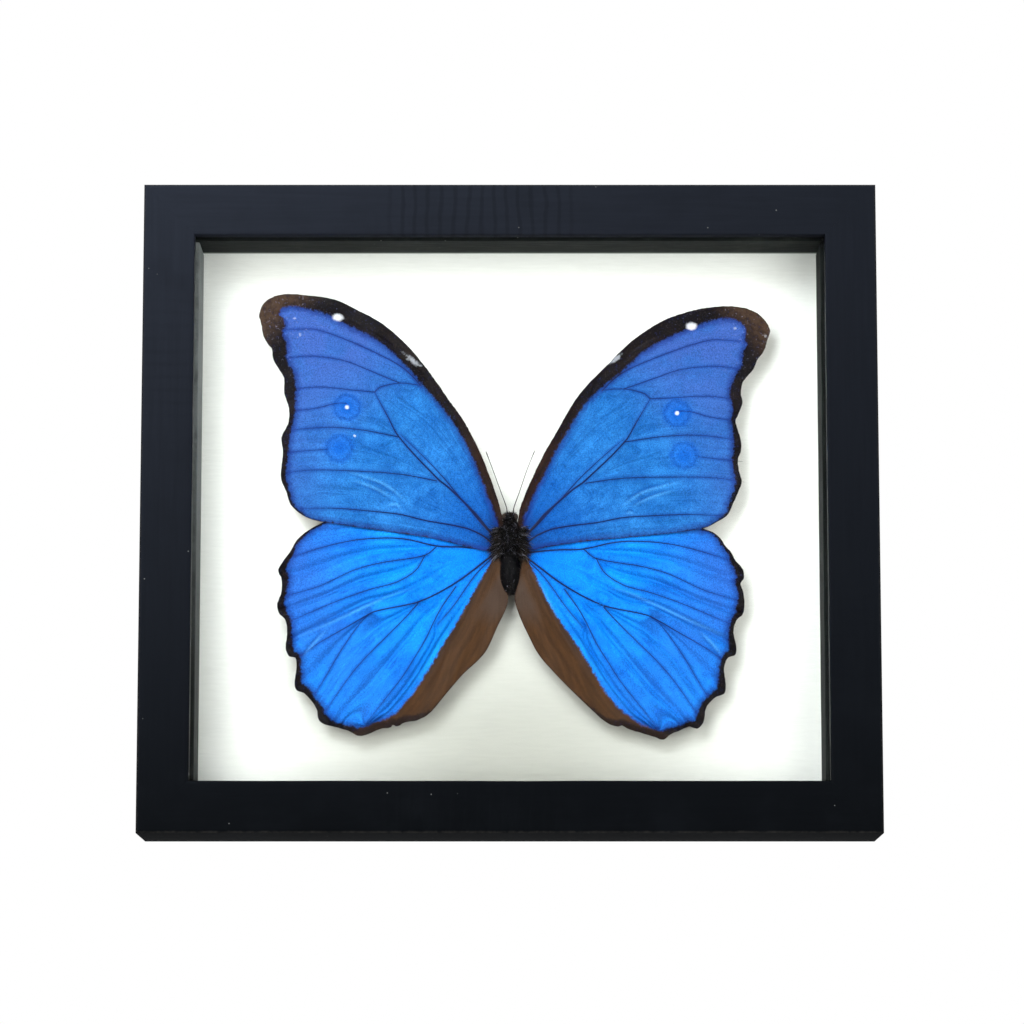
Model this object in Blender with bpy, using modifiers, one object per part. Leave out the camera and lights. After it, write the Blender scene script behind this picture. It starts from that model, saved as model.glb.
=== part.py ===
# Framed butterfly specimen: a large blue butterfly, set with its wings spread, fixed to a
# white board behind glass in a black shadow-box frame.
# Metres, +Z up. The glass faces -Y and the wall is behind, at +Y. The origin is the point
# that the frame hangs from, in the plane of the rails' back faces.
import math

import bmesh
import bpy
from mathutils import Matrix, Vector

MM = 0.001
GAP = 0.3 * MM

# frame
WIDTH = 203.0 * MM
HEIGHT = 181.0 * MM
DEPTH = 31.0 * MM
HANG_BELOW_TOP = 7.0 * MM
RAIL_FACE = 14.2 * MM
RABBET = 5.0 * MM
LIP = 4.0 * MM
RAIL_EDGE_ROUND = 0.5 * MM

# what the rabbet holds, front to back
GLASS_THICK = 2.0 * MM
BOARD_THICK = 2.4 * MM
PANEL_THICK = 2.1 * MM
PANEL_BACK_INSET = 2.6 * MM
SPACER_PROUD = 0.9 * MM

# metal fixings on the back
POINT_LENGTH = 10.0 * MM
POINT_WIDTH = 6.0 * MM
POINT_THICK = 0.6 * MM
POINT_IN_RAIL = 5.0 * MM
POINTS_FROM_MIDDLE = 0.28
HANGER_LENGTH = 45.0 * MM
HANGER_HEIGHT = 8.0 * MM
HANGER_THICK = 0.8 * MM
HANGER_TEETH = 15
TOOTH_DEPTH = 1.6 * MM
NAIL_SPACING = 36.0 * MM
NAIL_SHANK_R = 0.7 * MM
NAIL_HEAD_R = 2.0 * MM
NAIL_HEAD_THICK = 0.6 * MM
NAIL_DEPTH = 7.0 * MM

# butterfly
THORAX_BELOW_HANGER = 90.0 * MM
WING_THICK = 0.5 * MM
WING_CURVE_STEPS = 4
BODY_FLATTEN = 0.95
BODY_STEPS = 28
ANTENNA_R = 0.22 * MM
EYE_R = 1.05 * MM

# depths, worked out from the above
FRONT_Y = -DEPTH
GLASS_FRONT_Y = FRONT_Y + LIP + GAP
SPACER_FRONT_Y = GLASS_FRONT_Y + GLASS_THICK + GAP
PANEL_BACK_Y = -PANEL_BACK_INSET
PANEL_FRONT_Y = PANEL_BACK_Y - PANEL_THICK
BOARD_BACK_Y = PANEL_FRONT_Y - GAP
BOARD_FRONT_Y = BOARD_BACK_Y - BOARD_THICK
SPACER_BACK_Y = BOARD_FRONT_Y - GAP
CENTRE_Z = HANG_BELOW_TOP - HEIGHT / 2
WALL = RAIL_FACE - RABBET

# The body from the top of the head to the tip of the abdomen: radius and height in mm,
# measured from the middle of the thorax.
BODY_PROFILE = (
    (0.0, 7.4), (1.2, 7.1), (1.9, 6.3), (2.0, 5.5), (1.7, 4.9), (3.1, 4.3), (4.2, 2.4),
    (4.5, 0.0), (4.2, -2.6), (3.3, -4.5), (2.6, -5.4), (3.1, -6.8), (3.3, -9.0),
    (3.0, -11.8), (2.2, -14.2), (1.1, -15.7), (0.0, -16.2),
)
BODY_RADIUS = 4.5 * MM
BODY_Y = BOARD_FRONT_Y - GAP - BODY_RADIUS * BODY_FLATTEN
FOREWING_Y = BODY_Y - 1.8 * MM
HINDWING_Y = FOREWING_Y + WING_THICK + GAP

# Wing outlines in mm, across and up from the middle of the thorax, as each wing is set.
FOREWING_LEFT = (
    (-3.2, 9.0), (-5.5, 17.2), (-8.3, 24.3), (-12.8, 33.1), (-19.5, 42.7), (-24.9, 50.1),
    (-30.2, 56.1), (-36.4, 61.3), (-43.8, 65.3), (-50.5, 68.3), (-58.4, 69.4), (-64.0, 69.1),
    (-68.8, 67.0), (-70.4, 63.3), (-69.3, 57.6), (-66.6, 52.6), (-63.4, 45.6), (-63.3, 41.3),
    (-61.9, 36.5), (-62.0, 32.5), (-63.9, 28.5), (-63.3, 24.3), (-64.0, 18.0), (-62.4, 13.2),
    (-61.2, 9.6), (-58.6, 7.0), (-55.0, 5.2), (-51.5, 4.5), (-36.2, 2.2), (-21.7, 0.0),
    (-12.2, -2.3), (-5.0, -3.0), (-4.8, 2.5), (-3.6, 6.4),
)
FOREWING_RIGHT = (
    (3.2, 9.0), (5.6, 15.5), (9.0, 22.9), (14.3, 32.2), (18.3, 39.0), (22.5, 44.2),
    (28.4, 50.1), (33.7, 55.6), (39.3, 59.6), (43.6, 62.1), (50.9, 64.7), (59.0, 65.9),
    (64.9, 65.6), (69.4, 63.9), (72.2, 61.0), (72.8, 57.8), (71.0, 52.7), (68.4, 48.1),
    (65.3, 44.2), (64.9, 38.7), (63.1, 33.4), (64.7, 27.2), (63.8, 22.3), (64.4, 15.8),
    (62.2, 9.6), (60.6, 6.6), (58.0, 4.7), (53.8, 2.8), (39.1, 0.8), (21.5, -0.9),
    (12.0, -2.0), (5.0, -3.0), (4.8, 2.5), (3.6, 6.4),
)
HINDWING_LEFT = (
    (-5.4, -1.4), (-22.0, 2.0), (-40.0, 4.0), (-51.5, 4.5), (-55.9, 2.2), (-59.8, -1.1),
    (-63.1, -6.8), (-64.3, -9.0), (-63.4, -12.5), (-64.4, -19.1), (-62.3, -24.0),
    (-61.9, -30.3), (-59.6, -36.4), (-59.4, -41.5), (-55.6, -44.8), (-53.3, -49.0),
    (-50.8, -52.0), (-44.2, -54.3), (-40.5, -55.2), (-31.7, -52.3), (-25.7, -50.6),
    (-22.1, -49.0), (-16.8, -42.6), (-8.8, -34.2), (-6.3, -31.4), (-4.4, -24.0),
    (-4.2, -14.0), (-4.2, -9.0), (-3.8, -5.6),
)
HINDWING_RIGHT = (
    (5.4, -1.4), (22.0, 0.8), (40.0, 2.4), (53.8, 2.8), (57.4, 0.3), (60.5, -2.8),
    (63.6, -7.2), (64.8, -10.4), (64.2, -13.6), (65.0, -19.6), (63.0, -22.9), (62.2, -27.0),
    (62.4, -32.2), (59.8, -36.0), (59.6, -42.4), (56.4, -45.3), (54.2, -49.0),
    (52.2, -53.0), (47.6, -53.8), (42.8, -56.0), (32.4, -53.4), (24.6, -50.4),
    (16.4, -42.6), (8.9, -34.8), (5.9, -30.0), (4.4, -20.0), (4.2, -14.0), (4.2, -9.0),
    (3.8, -5.6),
)
ANTENNA_LEFT = ((-0.75, 7.9), (-2.4, 13.6), (-4.5, 19.0), (-6.7, 24.5))
ANTENNA_RIGHT = ((0.95, 7.9), (2.7, 13.4), (4.7, 19.0), (7.0, 24.8))
ANTENNA_LIFT = 1.2 * MM


def clear_objects():
    for obj in list(bpy.data.objects):
        bpy.data.objects.remove(obj, do_unlink=True)


def new_collection(name):
    collection = bpy.data.collections.new(name)
    bpy.context.scene.collection.children.link(collection)
    return collection


clear_objects()
SPECIMEN = new_collection("framed butterfly specimen")
CUTTERS = new_collection("cutters")


def make_material(name, colour, roughness, metallic=0.0):
    material = bpy.data.materials.new(name)
    material.use_nodes = True
    shader = material.node_tree.nodes["Principled BSDF"]
    shader.inputs["Base Color"].default_value = (*colour, 1.0)
    shader.inputs["Roughness"].default_value = roughness
    shader.inputs["Metallic"].default_value = metallic
    return material


def add_object(name, data, material, collection=SPECIMEN):
    obj = bpy.data.objects.new(name, data)
    collection.objects.link(obj)
    if material is not None:
        obj.data.materials.append(material)
    return obj


def box_mesh(name, size):
    mesh = bpy.data.meshes.new(name)
    bm = bmesh.new()
    bmesh.ops.create_cube(bm, size=1.0, matrix=Matrix.Diagonal((*size, 1.0)))
    bm.to_mesh(mesh)
    bm.free()
    return mesh


def add_box(name, low, high, material, edge_round=0.0):
    """A block from its lowest to its highest corner, with its edges rounded a little."""
    low = Vector(low)
    high = Vector(high)
    obj = add_object(name, box_mesh(name, high - low), material)
    obj.location = (low + high) / 2
    if edge_round:
        bevel = obj.modifiers.new("edges", "BEVEL")
        bevel.width = edge_round
        bevel.segments = 1
    return obj


def add_cutter(name, size, location, parent):
    """A block that is cut out of its parent, placed in the parent's own frame."""
    cutter = add_object(name, box_mesh(name, size), None, CUTTERS)
    cutter.parent = parent
    cutter.location = location
    cutter.hide_render = True
    cutter.display_type = "WIRE"
    cut = parent.modifiers.new(name, "BOOLEAN")
    cut.operation = "DIFFERENCE"
    cut.object = cutter
    return cutter


# Rails. Each lies along its own X with its outer edge up and its front at -Y, mitred at
# both ends, and is turned into place round the middle of the frame.
def mitred_blank(name, length):
    """A rail's block, cut at both ends on the 45 degree mitres."""
    mesh = box_mesh(name, (length, DEPTH, RAIL_FACE))
    bm = bmesh.new()
    bm.from_mesh(mesh)
    for end in (-1, 1):
        normal = Vector((end, 0.0, -1.0)).normalized()
        point = Vector((end * length / 2, 0.0, RAIL_FACE / 2)) - normal * GAP / 2
        cut = bmesh.ops.bisect_plane(
            bm, geom=bm.verts[:] + bm.edges[:] + bm.faces[:],
            plane_co=point, plane_no=normal, clear_outer=True)
        rim = [item for item in cut["geom_cut"] if isinstance(item, bmesh.types.BMEdge)]
        bmesh.ops.contextual_create(bm, geom=rim)
    bmesh.ops.recalc_face_normals(bm, faces=bm.faces[:])
    bm.to_mesh(mesh)
    bm.free()
    return mesh


def add_rail(side, length, reach, turn, material):
    """A rail whose outer edge is reach from the frame's middle, turned by turn about Y."""
    name = "frame_rail_" + side
    rail = add_object(name, mitred_blank(name, length), material)
    spin = Matrix.Rotation(turn, 4, "Y")
    rail.rotation_euler = spin.to_euler()
    middle = Vector((0.0, -DEPTH / 2, reach - RAIL_FACE / 2))
    rail.location = spin @ middle + Vector((0.0, 0.0, CENTRE_Z))
    rabbet_size = (length * 1.2, DEPTH, RAIL_FACE)
    add_cutter("rabbet_" + side, rabbet_size, (0.0, LIP, RABBET - RAIL_FACE), rail)
    slot_size = (POINT_WIDTH + 2 * GAP, POINT_THICK + 2 * GAP, 2 * POINT_IN_RAIL + 2 * GAP)
    slot_y = PANEL_BACK_Y + GAP + POINT_THICK / 2 + DEPTH / 2
    for number in (-1, 1):
        place = (number * POINTS_FROM_MIDDLE * length, slot_y, RABBET - RAIL_FACE / 2)
        add_cutter(f"slot_{side}_{number}", slot_size, place, rail)
    bevel = rail.modifiers.new("edges", "BEVEL")
    bevel.width = RAIL_EDGE_ROUND
    bevel.segments = 2
    bevel.limit_method = "ANGLE"
    return rail, spin


def add_points(side, length, reach, spin, material):
    """The two metal points that hold the back panel at one rail."""
    size = (POINT_WIDTH, POINT_THICK, POINT_LENGTH)
    rabbet_wall = reach - WALL
    for number in (-1, 1):
        point = add_object(f"panel_point_{side}_{(number + 3) // 2}", box_mesh("point", size), material)
        local = Vector((number * POINTS_FROM_MIDDLE * length,
                        PANEL_BACK_Y + GAP + POINT_THICK / 2,
                        rabbet_wall + POINT_IN_RAIL - POINT_LENGTH / 2))
        point.rotation_euler = spin.to_euler()
        point.location = spin @ local + Vector((0.0, 0.0, CENTRE_Z))


# length of the outer edge, distance from the frame's middle, turn about Y
RAIL_SIDES = {
    "top": (WIDTH, HEIGHT / 2, 0.0),
    "right": (HEIGHT, WIDTH / 2, math.pi / 2),
    "bottom": (WIDTH, HEIGHT / 2, math.pi),
    "left": (HEIGHT, WIDTH / 2, -math.pi / 2),
}


def build_frame():
    black_wood = make_material("satin black wood", (0.018, 0.019, 0.022), 0.42)
    steel = make_material("zinc plated steel", (0.62, 0.60, 0.55), 0.35, 1.0)
    rails = {}
    for side, (length, reach, turn) in RAIL_SIDES.items():
        rails[side], spin = add_rail(side, length, reach, turn, black_wood)
        add_points(side, length, reach, spin, steel)
    return rails, steel


def inner_box(margin):
    """The lowest and highest X and Z of a rectangle that far inside the outer edges."""
    return (-WIDTH / 2 + margin, HANG_BELOW_TOP - HEIGHT + margin,
            WIDTH / 2 - margin, HANG_BELOW_TOP - margin)


def build_rabbet_contents():
    """The glass, the spacer strips, the white board and the back panel."""
    glass = make_material("clear glass", (0.93, 0.96, 0.95), 0.02)
    strip = make_material("grey black strip", (0.10, 0.11, 0.11), 0.5)
    paper = make_material("white board", (0.90, 0.90, 0.88), 0.8)
    hardboard = make_material("brown hardboard", (0.20, 0.12, 0.07), 0.7)
    x0, z0, x1, z1 = inner_box(WALL + GAP)
    add_box("glass_pane", (x0, GLASS_FRONT_Y, z0), (x1, GLASS_FRONT_Y + GLASS_THICK, z1), glass)
    add_box("mount_board", (x0, BOARD_FRONT_Y, z0), (x1, BOARD_BACK_Y, z1), paper)
    add_box("back_panel", (x0, PANEL_FRONT_Y, z0), (x1, PANEL_BACK_Y, z1), hardboard)
    thick = RABBET - GAP + SPACER_PROUD
    front = SPACER_FRONT_Y
    back = SPACER_BACK_Y
    edge = 0.25 * MM
    add_box("spacer_top", (x0, front, z1 - thick), (x1, back, z1), strip, edge)
    add_box("spacer_bottom", (x0, front, z0), (x1, back, z0 + thick), strip, edge)
    low = z0 + thick + GAP
    high = z1 - thick - GAP
    add_box("spacer_left", (x0, front, low), (x0 + thick, back, high), strip, edge)
    add_box("spacer_right", (x1 - thick, front, low), (x1, back, high), strip, edge)


# Hanger. A sawtooth plate across the top rail's back, held by two nails.
def add_flat(name, outlines, thickness, material, smooth_steps=0):
    """A plate from closed outlines in X and Z, the first its edge and the rest holes in it."""
    curve = bpy.data.curves.new(name, "CURVE")
    curve.dimensions = "2D"
    curve.fill_mode = "BOTH"
    curve.extrude = thickness / 2
    curve.resolution_u = max(smooth_steps, 1)
    for outline in outlines:
        if smooth_steps:
            spline = curve.splines.new("BEZIER")
            spline.bezier_points.add(len(outline) - 1)
            for knot, (x, z) in zip(spline.bezier_points, outline):
                knot.co = (x, z, 0.0)
                knot.handle_left_type = "AUTO"
                knot.handle_right_type = "AUTO"
        else:
            spline = curve.splines.new("POLY")
            spline.points.add(len(outline) - 1)
            for knot, (x, z) in zip(spline.points, outline):
                knot.co = (x, z, 0.0, 1.0)
        spline.use_cyclic_u = True
    obj = add_object(name, curve, material)
    obj.rotation_euler = (math.pi / 2, 0.0, 0.0)
    return obj


def circle_outline(centre_x, centre_z, radius, count=16):
    return [(centre_x + radius * math.cos(math.tau * step / count),
             centre_z + radius * math.sin(math.tau * step / count)) for step in range(count)]


def hanger_outline():
    half = HANGER_LENGTH / 2
    pitch = HANGER_LENGTH / HANGER_TEETH
    points = [(-half, HANGER_HEIGHT / 2), (half, HANGER_HEIGHT / 2)]
    for tooth in range(HANGER_TEETH):
        right = half - tooth * pitch
        points.append((right, -HANGER_HEIGHT / 2))
        points.append((right - pitch / 2, -HANGER_HEIGHT / 2 + TOOTH_DEPTH))
    points.append((-half, -HANGER_HEIGHT / 2))
    return points


def add_nail(name, x, z, material):
    """A nail turned about its own axis, its head behind the hanger and its shank in the rail."""
    head_y = GAP + HANGER_THICK + GAP
    profile = ((0.0, head_y + NAIL_HEAD_THICK), (NAIL_HEAD_R * 0.7, head_y + NAIL_HEAD_THICK),
               (NAIL_HEAD_R, head_y + NAIL_HEAD_THICK / 2), (NAIL_HEAD_R, head_y),
               (NAIL_SHANK_R, head_y), (NAIL_SHANK_R, 1.5 * MM - NAIL_DEPTH), (0.0, -NAIL_DEPTH))
    nail = add_turned(name, profile, 16, material)
    nail.rotation_euler = (-math.pi / 2, 0.0, 0.0)
    nail.location = (x, 0.0, z)
    return nail


def add_turned(name, profile, steps, material):
    """A solid turned about Z from a profile of radius and height, given from top to bottom."""
    mesh = bpy.data.meshes.new(name)
    bm = bmesh.new()
    verts = [bm.verts.new((radius, 0.0, height)) for radius, height in profile]
    for upper, lower in zip(verts, verts[1:]):
        bm.edges.new((upper, lower))
    bm.to_mesh(mesh)
    bm.free()
    obj = add_object(name, mesh, material)
    screw = obj.modifiers.new("turn", "SCREW")
    screw.axis = "Z"
    screw.steps = steps
    screw.render_steps = steps
    screw.use_merge_vertices = True
    screw.merge_threshold = 0.00005
    screw.use_smooth_shade = True
    return obj


def build_hanger(top_rail, steel):
    hanger_z = HANG_BELOW_TOP - WALL / 2
    hole = NAIL_SHANK_R + GAP
    nail_places = (-NAIL_SPACING / 2, NAIL_SPACING / 2)
    outlines = [hanger_outline()]
    for x in nail_places:
        outlines.append(circle_outline(x, HANGER_HEIGHT / 6, hole))
    plate = add_flat("sawtooth_hanger", outlines, HANGER_THICK, steel)
    plate.location = (0.0, GAP + HANGER_THICK / 2, hanger_z)
    nail_z = hanger_z + HANGER_HEIGHT / 6
    for side, x in zip(("left", "right"), nail_places):
        add_nail("hanger_nail_" + side, x, nail_z, steel)
        size = (2 * hole, 2 * (NAIL_DEPTH + GAP), 2 * hole)
        place = (x, DEPTH / 2, nail_z - HANG_BELOW_TOP + RAIL_FACE / 2)
        add_cutter("nail_hole_" + side, size, place, top_rail)
    # the edges are rounded after the holes are cut
    names = [modifier.name for modifier in top_rail.modifiers]
    top_rail.modifiers.move(names.index("edges"), len(names) - 1)


# Butterfly. Its parts are placed from the middle of the thorax.
def add_wing(name, outline, y, material):
    points = [(x * MM, z * MM) for x, z in outline]
    wing = add_flat(name, [points], WING_THICK, material, WING_CURVE_STEPS)
    wing.location = (0.0, y, -THORAX_BELOW_HANGER)
    return wing


def add_body(material):
    """Head, thorax and abdomen in one, with the two eyes joined to the head."""
    profile = [(radius * MM, height * MM) for radius, height in BODY_PROFILE]
    body = add_turned("butterfly_body", profile, BODY_STEPS, material)
    body.scale = (1.0, BODY_FLATTEN, 1.0)
    body.location = (0.0, BODY_Y, -THORAX_BELOW_HANGER)
    for side in (-1, 1):
        eye_mesh = bpy.data.meshes.new("eye")
        bm = bmesh.new()
        bmesh.ops.create_uvsphere(bm, u_segments=12, v_segments=8, radius=EYE_R)
        bm.to_mesh(eye_mesh)
        bm.free()
        eye = add_object(f"eye_{side}", eye_mesh, None, CUTTERS)
        eye.location = (side * 1.55 * MM, BODY_Y - 0.5 * MM, -THORAX_BELOW_HANGER + 5.9 * MM)
        eye.hide_render = True
        eye.display_type = "WIRE"
        join = body.modifiers.new(f"eye_{side}", "BOOLEAN")
        join.operation = "UNION"
        join.object = eye
    return body


def add_antenna(name, route, material):
    curve = bpy.data.curves.new(name, "CURVE")
    curve.dimensions = "3D"
    curve.bevel_depth = ANTENNA_R
    curve.bevel_resolution = 1
    curve.use_fill_caps = True
    spline = curve.splines.new("POLY")
    spline.points.add(len(route) - 1)
    for number, (x, z) in enumerate(route):
        lift = ANTENNA_LIFT * number / (len(route) - 1)
        spline.points[number].co = (x * MM, -lift, z * MM, 1.0)
    antenna = add_object(name, curve, material)
    antenna.location = (0.0, BODY_Y, -THORAX_BELOW_HANGER)
    return antenna


def build_butterfly():
    blue_scales = make_material("blue wing scales", (0.02, 0.16, 0.62), 0.4)
    black_hair = make_material("black body hair", (0.012, 0.011, 0.012), 0.8)
    grey_horn = make_material("grey antenna", (0.30, 0.29, 0.28), 0.6)
    add_wing("forewing_left", FOREWING_LEFT, FOREWING_Y, blue_scales)
    add_wing("forewing_right", FOREWING_RIGHT, FOREWING_Y, blue_scales)
    add_wing("hindwing_left", HINDWING_LEFT, HINDWING_Y, blue_scales)
    add_wing("hindwing_right", HINDWING_RIGHT, HINDWING_Y, blue_scales)
    add_body(black_hair)
    add_antenna("antenna_left", ANTENNA_LEFT, grey_horn)
    add_antenna("antenna_right", ANTENNA_RIGHT, grey_horn)


rails, steel = build_frame()
build_rabbet_contents()
build_hanger(rails["top"], steel)
build_butterfly()
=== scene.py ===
import math

import bmesh
import bpy
import numpy as np
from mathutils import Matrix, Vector
from mathutils.geometry import delaunay_2d_cdt


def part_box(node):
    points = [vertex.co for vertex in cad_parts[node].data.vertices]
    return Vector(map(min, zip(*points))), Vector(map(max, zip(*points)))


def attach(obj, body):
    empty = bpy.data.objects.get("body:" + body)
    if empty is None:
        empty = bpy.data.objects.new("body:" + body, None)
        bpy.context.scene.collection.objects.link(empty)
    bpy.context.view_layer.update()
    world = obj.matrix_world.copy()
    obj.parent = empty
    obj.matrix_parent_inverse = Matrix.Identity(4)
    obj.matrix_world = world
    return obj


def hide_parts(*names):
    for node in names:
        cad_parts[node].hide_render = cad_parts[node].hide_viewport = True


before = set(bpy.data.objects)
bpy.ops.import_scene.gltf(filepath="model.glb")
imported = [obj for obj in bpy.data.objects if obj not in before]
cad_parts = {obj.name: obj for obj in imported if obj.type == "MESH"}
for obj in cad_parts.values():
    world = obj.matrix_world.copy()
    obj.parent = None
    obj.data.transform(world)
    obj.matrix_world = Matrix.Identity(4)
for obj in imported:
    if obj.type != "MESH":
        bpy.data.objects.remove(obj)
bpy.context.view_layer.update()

# Studio. The specimen hangs upright before a white surround, seen from a little below and lit
# by two soft windows, an upper card, a fill behind and light from overhead on a far pale floor.
# A dark screen behind the camera keeps its place in the glass free of reflections.
MM = 0.001
FRAME_LOW, FRAME_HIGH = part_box("frame_rail_left")[0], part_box("frame_rail_right")[1]
FRAME_MIDDLE = (FRAME_LOW + FRAME_HIGH) / 2
LENS = 147.6
CAMERA_DISTANCE = 1.164
CAMERA_RISE = math.radians(8.8)
CAMERA_AIM = Vector((0.6 * MM, -18.6 * MM, FRAME_MIDDLE.z - 0.1 * MM))
WHITE_SURROUND = 1.0
FILL_LIGHT = 0.42
FLOOR_DROP = 1.25
FLOOR_REACH = 60.0


def aim_at(obj, target):
    obj.rotation_mode = "QUATERNION"
    obj.rotation_quaternion = (target - obj.location).to_track_quat("-Z", "Y")


def add_object(name, data):
    obj = bpy.data.objects.new(name, data)
    bpy.context.scene.collection.objects.link(obj)
    return obj


camera = add_object("camera", bpy.data.cameras.new("camera"))
camera.data.lens = LENS
camera.data.clip_start = 0.05
camera.data.clip_end = 120.0
view_way = Vector((0.0, math.cos(CAMERA_RISE), math.sin(CAMERA_RISE)))
camera.location = CAMERA_AIM - CAMERA_DISTANCE * view_way
aim_at(camera, CAMERA_AIM)
bpy.context.scene.camera = camera
bpy.context.scene.view_settings.view_transform = "Standard"
bpy.context.scene.view_settings.look = "None"

# Each light's name, place, width, height, watts and colour.
for name, place, width, height, watts, colour in (
        ("left window", (-0.58, -1.05, -0.08), 0.66, 0.9, 5.3, (1.0, 0.985, 0.95)),
        ("right window", (0.58, -1.05, -0.10), 0.66, 0.9, 4.8, (1.0, 0.985, 0.95)),
        ("upper card", (-0.36, -0.95, 0.46), 0.5, 0.36, 5.2, (0.96, 0.98, 1.0)),
        ("back fill", (0.5, 1.6, 0.6), 1.4, 1.0, 12.0, (1.0, 1.0, 1.0))):
    lamp = bpy.data.lights.new(name, "AREA")
    lamp.shape = "RECTANGLE"
    lamp.size, lamp.size_y = width, height
    lamp.energy = watts
    lamp.color = colour
    obj = add_object(name, lamp)
    obj.location = place
    aim_at(obj, FRAME_MIDDLE)
overhead = add_object("overhead", bpy.data.lights.new("overhead", "SUN"))
overhead.data.energy = 1.6
overhead.data.angle = math.radians(6.0)
overhead.location = (0.0, 0.0, 2.0)


# Helpers that put nodes in a material and link them.
def put(tree, socket, value):
    """Links a socket to another, or sets its value."""
    if isinstance(value, bpy.types.NodeSocket):
        tree.links.new(value, socket)
    elif isinstance(value, tuple) and len(socket.default_value) == 4:
        socket.default_value = (*value, 1.0)
    else:
        socket.default_value = value


def add_node(tree, kind, values=None, **settings):
    node = tree.nodes.new(kind)
    for name, setting in settings.items():
        setattr(node, name, setting)
    for name, value in (values or {}).items():
        put(tree, node.inputs[name], value)
    return node


def span(tree, value, low, high, start=0.0, end=1.0):
    """A smooth step from start to end as value goes from low to high."""
    node = add_node(
        tree, "ShaderNodeMapRange",
        {"Value": value, "From Min": low, "From Max": high, "To Min": start, "To Max": end},
        interpolation_type="SMOOTHSTEP")
    return node.outputs["Result"]


def blend(tree, factor, first, second, mode="MIX"):
    """Two colours mixed by a factor."""
    node = add_node(tree, "ShaderNodeMix", data_type="RGBA", blend_type=mode)
    put(tree, node.inputs[0], factor)
    put(tree, node.inputs[6], first)
    put(tree, node.inputs[7], second)
    return node.outputs[2]


def cloud(tree, vector, scale, detail=3.0, roughness=0.5):
    node = add_node(tree, "ShaderNodeTexNoise",
                    {"Vector": vector, "Scale": scale, "Detail": detail, "Roughness": roughness})
    return node.outputs["Fac"]


def place_of(tree):
    """The place on the object, in metres from the point that it hangs from."""
    return add_node(tree, "ShaderNodeTexCoord").outputs["Object"]


def new_material(name):
    material = bpy.data.materials.new(name)
    material.use_nodes = True
    tree = material.node_tree
    return material, tree, tree.nodes["Principled BSDF"]


def finish_shader(tree, shader, values):
    for name, value in values.items():
        put(tree, shader.inputs[name], value)


world = bpy.data.worlds.new("white surround")
bpy.context.scene.world = world
world.use_nodes = True
sky = world.node_tree
seen = add_node(sky, "ShaderNodeLightPath").outputs["Is Camera Ray"]
level = span(sky, seen, 0.0, 1.0, FILL_LIGHT, WHITE_SURROUND)
put(sky, sky.nodes["Background"].inputs["Color"], (1.0, 1.0, 1.0))
put(sky, sky.nodes["Background"].inputs["Strength"], level)

screen_mesh = bpy.data.meshes.new("dark_screen")
screen_mesh.from_pydata(
    [(-0.50, -1.25, -1.35), (0.50, -1.25, -1.35), (0.34, -1.25, 0.34), (-0.34, -1.25, 0.34)],
    [], [(0, 1, 2, 3)])
screen = add_object("dark_screen", screen_mesh)
screen.visible_camera = False
dark_cloth, tree, shader = new_material("dark cloth")
finish_shader(tree, shader, {
    "Base Color": blend(tree, cloud(tree, place_of(tree), 40.0),
                        (0.004, 0.004, 0.005), (0.008, 0.008, 0.009)),
    "Roughness": 1.0, "Specular IOR Level": 0.0})
screen_mesh.materials.append(dark_cloth)

floor_mesh = bpy.data.meshes.new("floor")
bm = bmesh.new()
bmesh.ops.create_grid(bm, x_segments=8, y_segments=8, size=FLOOR_REACH)
bm.to_mesh(floor_mesh)
bm.free()
floor = add_object("floor", floor_mesh)
floor.location = (0.0, 0.0, FRAME_LOW.z - FLOOR_DROP)
pale, tree, shader = new_material("pale floor")
finish_shader(tree, shader, {
    "Base Color": blend(tree, cloud(tree, place_of(tree), 3.0),
                        (0.90, 0.90, 0.89), (0.94, 0.94, 0.93)),
    "Roughness": 0.8})
floor.data.materials.append(pale)


# Rails. Four lengths of black painted wood with a rabbet behind the lip, cut by machine,
# mitred and glued at the corners, and sprayed satin black after, so the joints hardly show.
RAIL_FACE = 14.2
RAIL_LIP = 4.0
RAIL_RABBET = 5.0
ARRIS = 0.55
LIP_ROUND = 0.4
LIP_CHAMFER = 0.15
LIP_WANDER = 0.05
MITRE_GAP = 0.006
RAIL_STATIONS = 90
RAIL_SIDES = ("top", "bottom", "left", "right")
CHATTER_PITCH = 3.6 * MM
CHATTER_MIDDLE = -8 * MM
RUBBED_FROM, RUBBED_TO = 1.15 * MM, 0.6 * MM


def maths(tree, operation, first, second=0.0):
    return add_node(tree, "ShaderNodeMath", {0: first, 1: second}, operation=operation).outputs[0]


def times(tree, first, second):
    return maths(tree, "MULTIPLY", first, second)


def plus(tree, first, second):
    return maths(tree, "ADD", first, second)


def minus(tree, first, second):
    return maths(tree, "SUBTRACT", first, second)


def over(tree, colour, mask, shade, strength):
    """A colour with a shade laid over it where the mask is, at a part of its strength."""
    return blend(tree, times(tree, mask, strength), colour, shade)


def stretched(tree, vector, scale):
    node = add_node(tree, "ShaderNodeMapping", {"Vector": vector, "Scale": scale})
    return node.outputs["Vector"]


def drawn_out(tree, vector, scale, detail=3.0, roughness=0.5):
    """Noise with a scale of its own along each axis."""
    return cloud(tree, stretched(tree, vector, scale), 1.0, detail, roughness)


def axes_of(tree, vector):
    return add_node(tree, "ShaderNodeSeparateXYZ", {"Vector": vector}).outputs


def bump_of(tree, height, distance, strength=1.0, normal=None):
    node = add_node(tree, "ShaderNodeBump",
                    {"Height": height, "Distance": distance, "Strength": strength})
    if normal is not None:
        put(tree, node.inputs["Normal"], normal)
    return node.outputs["Normal"]


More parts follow.
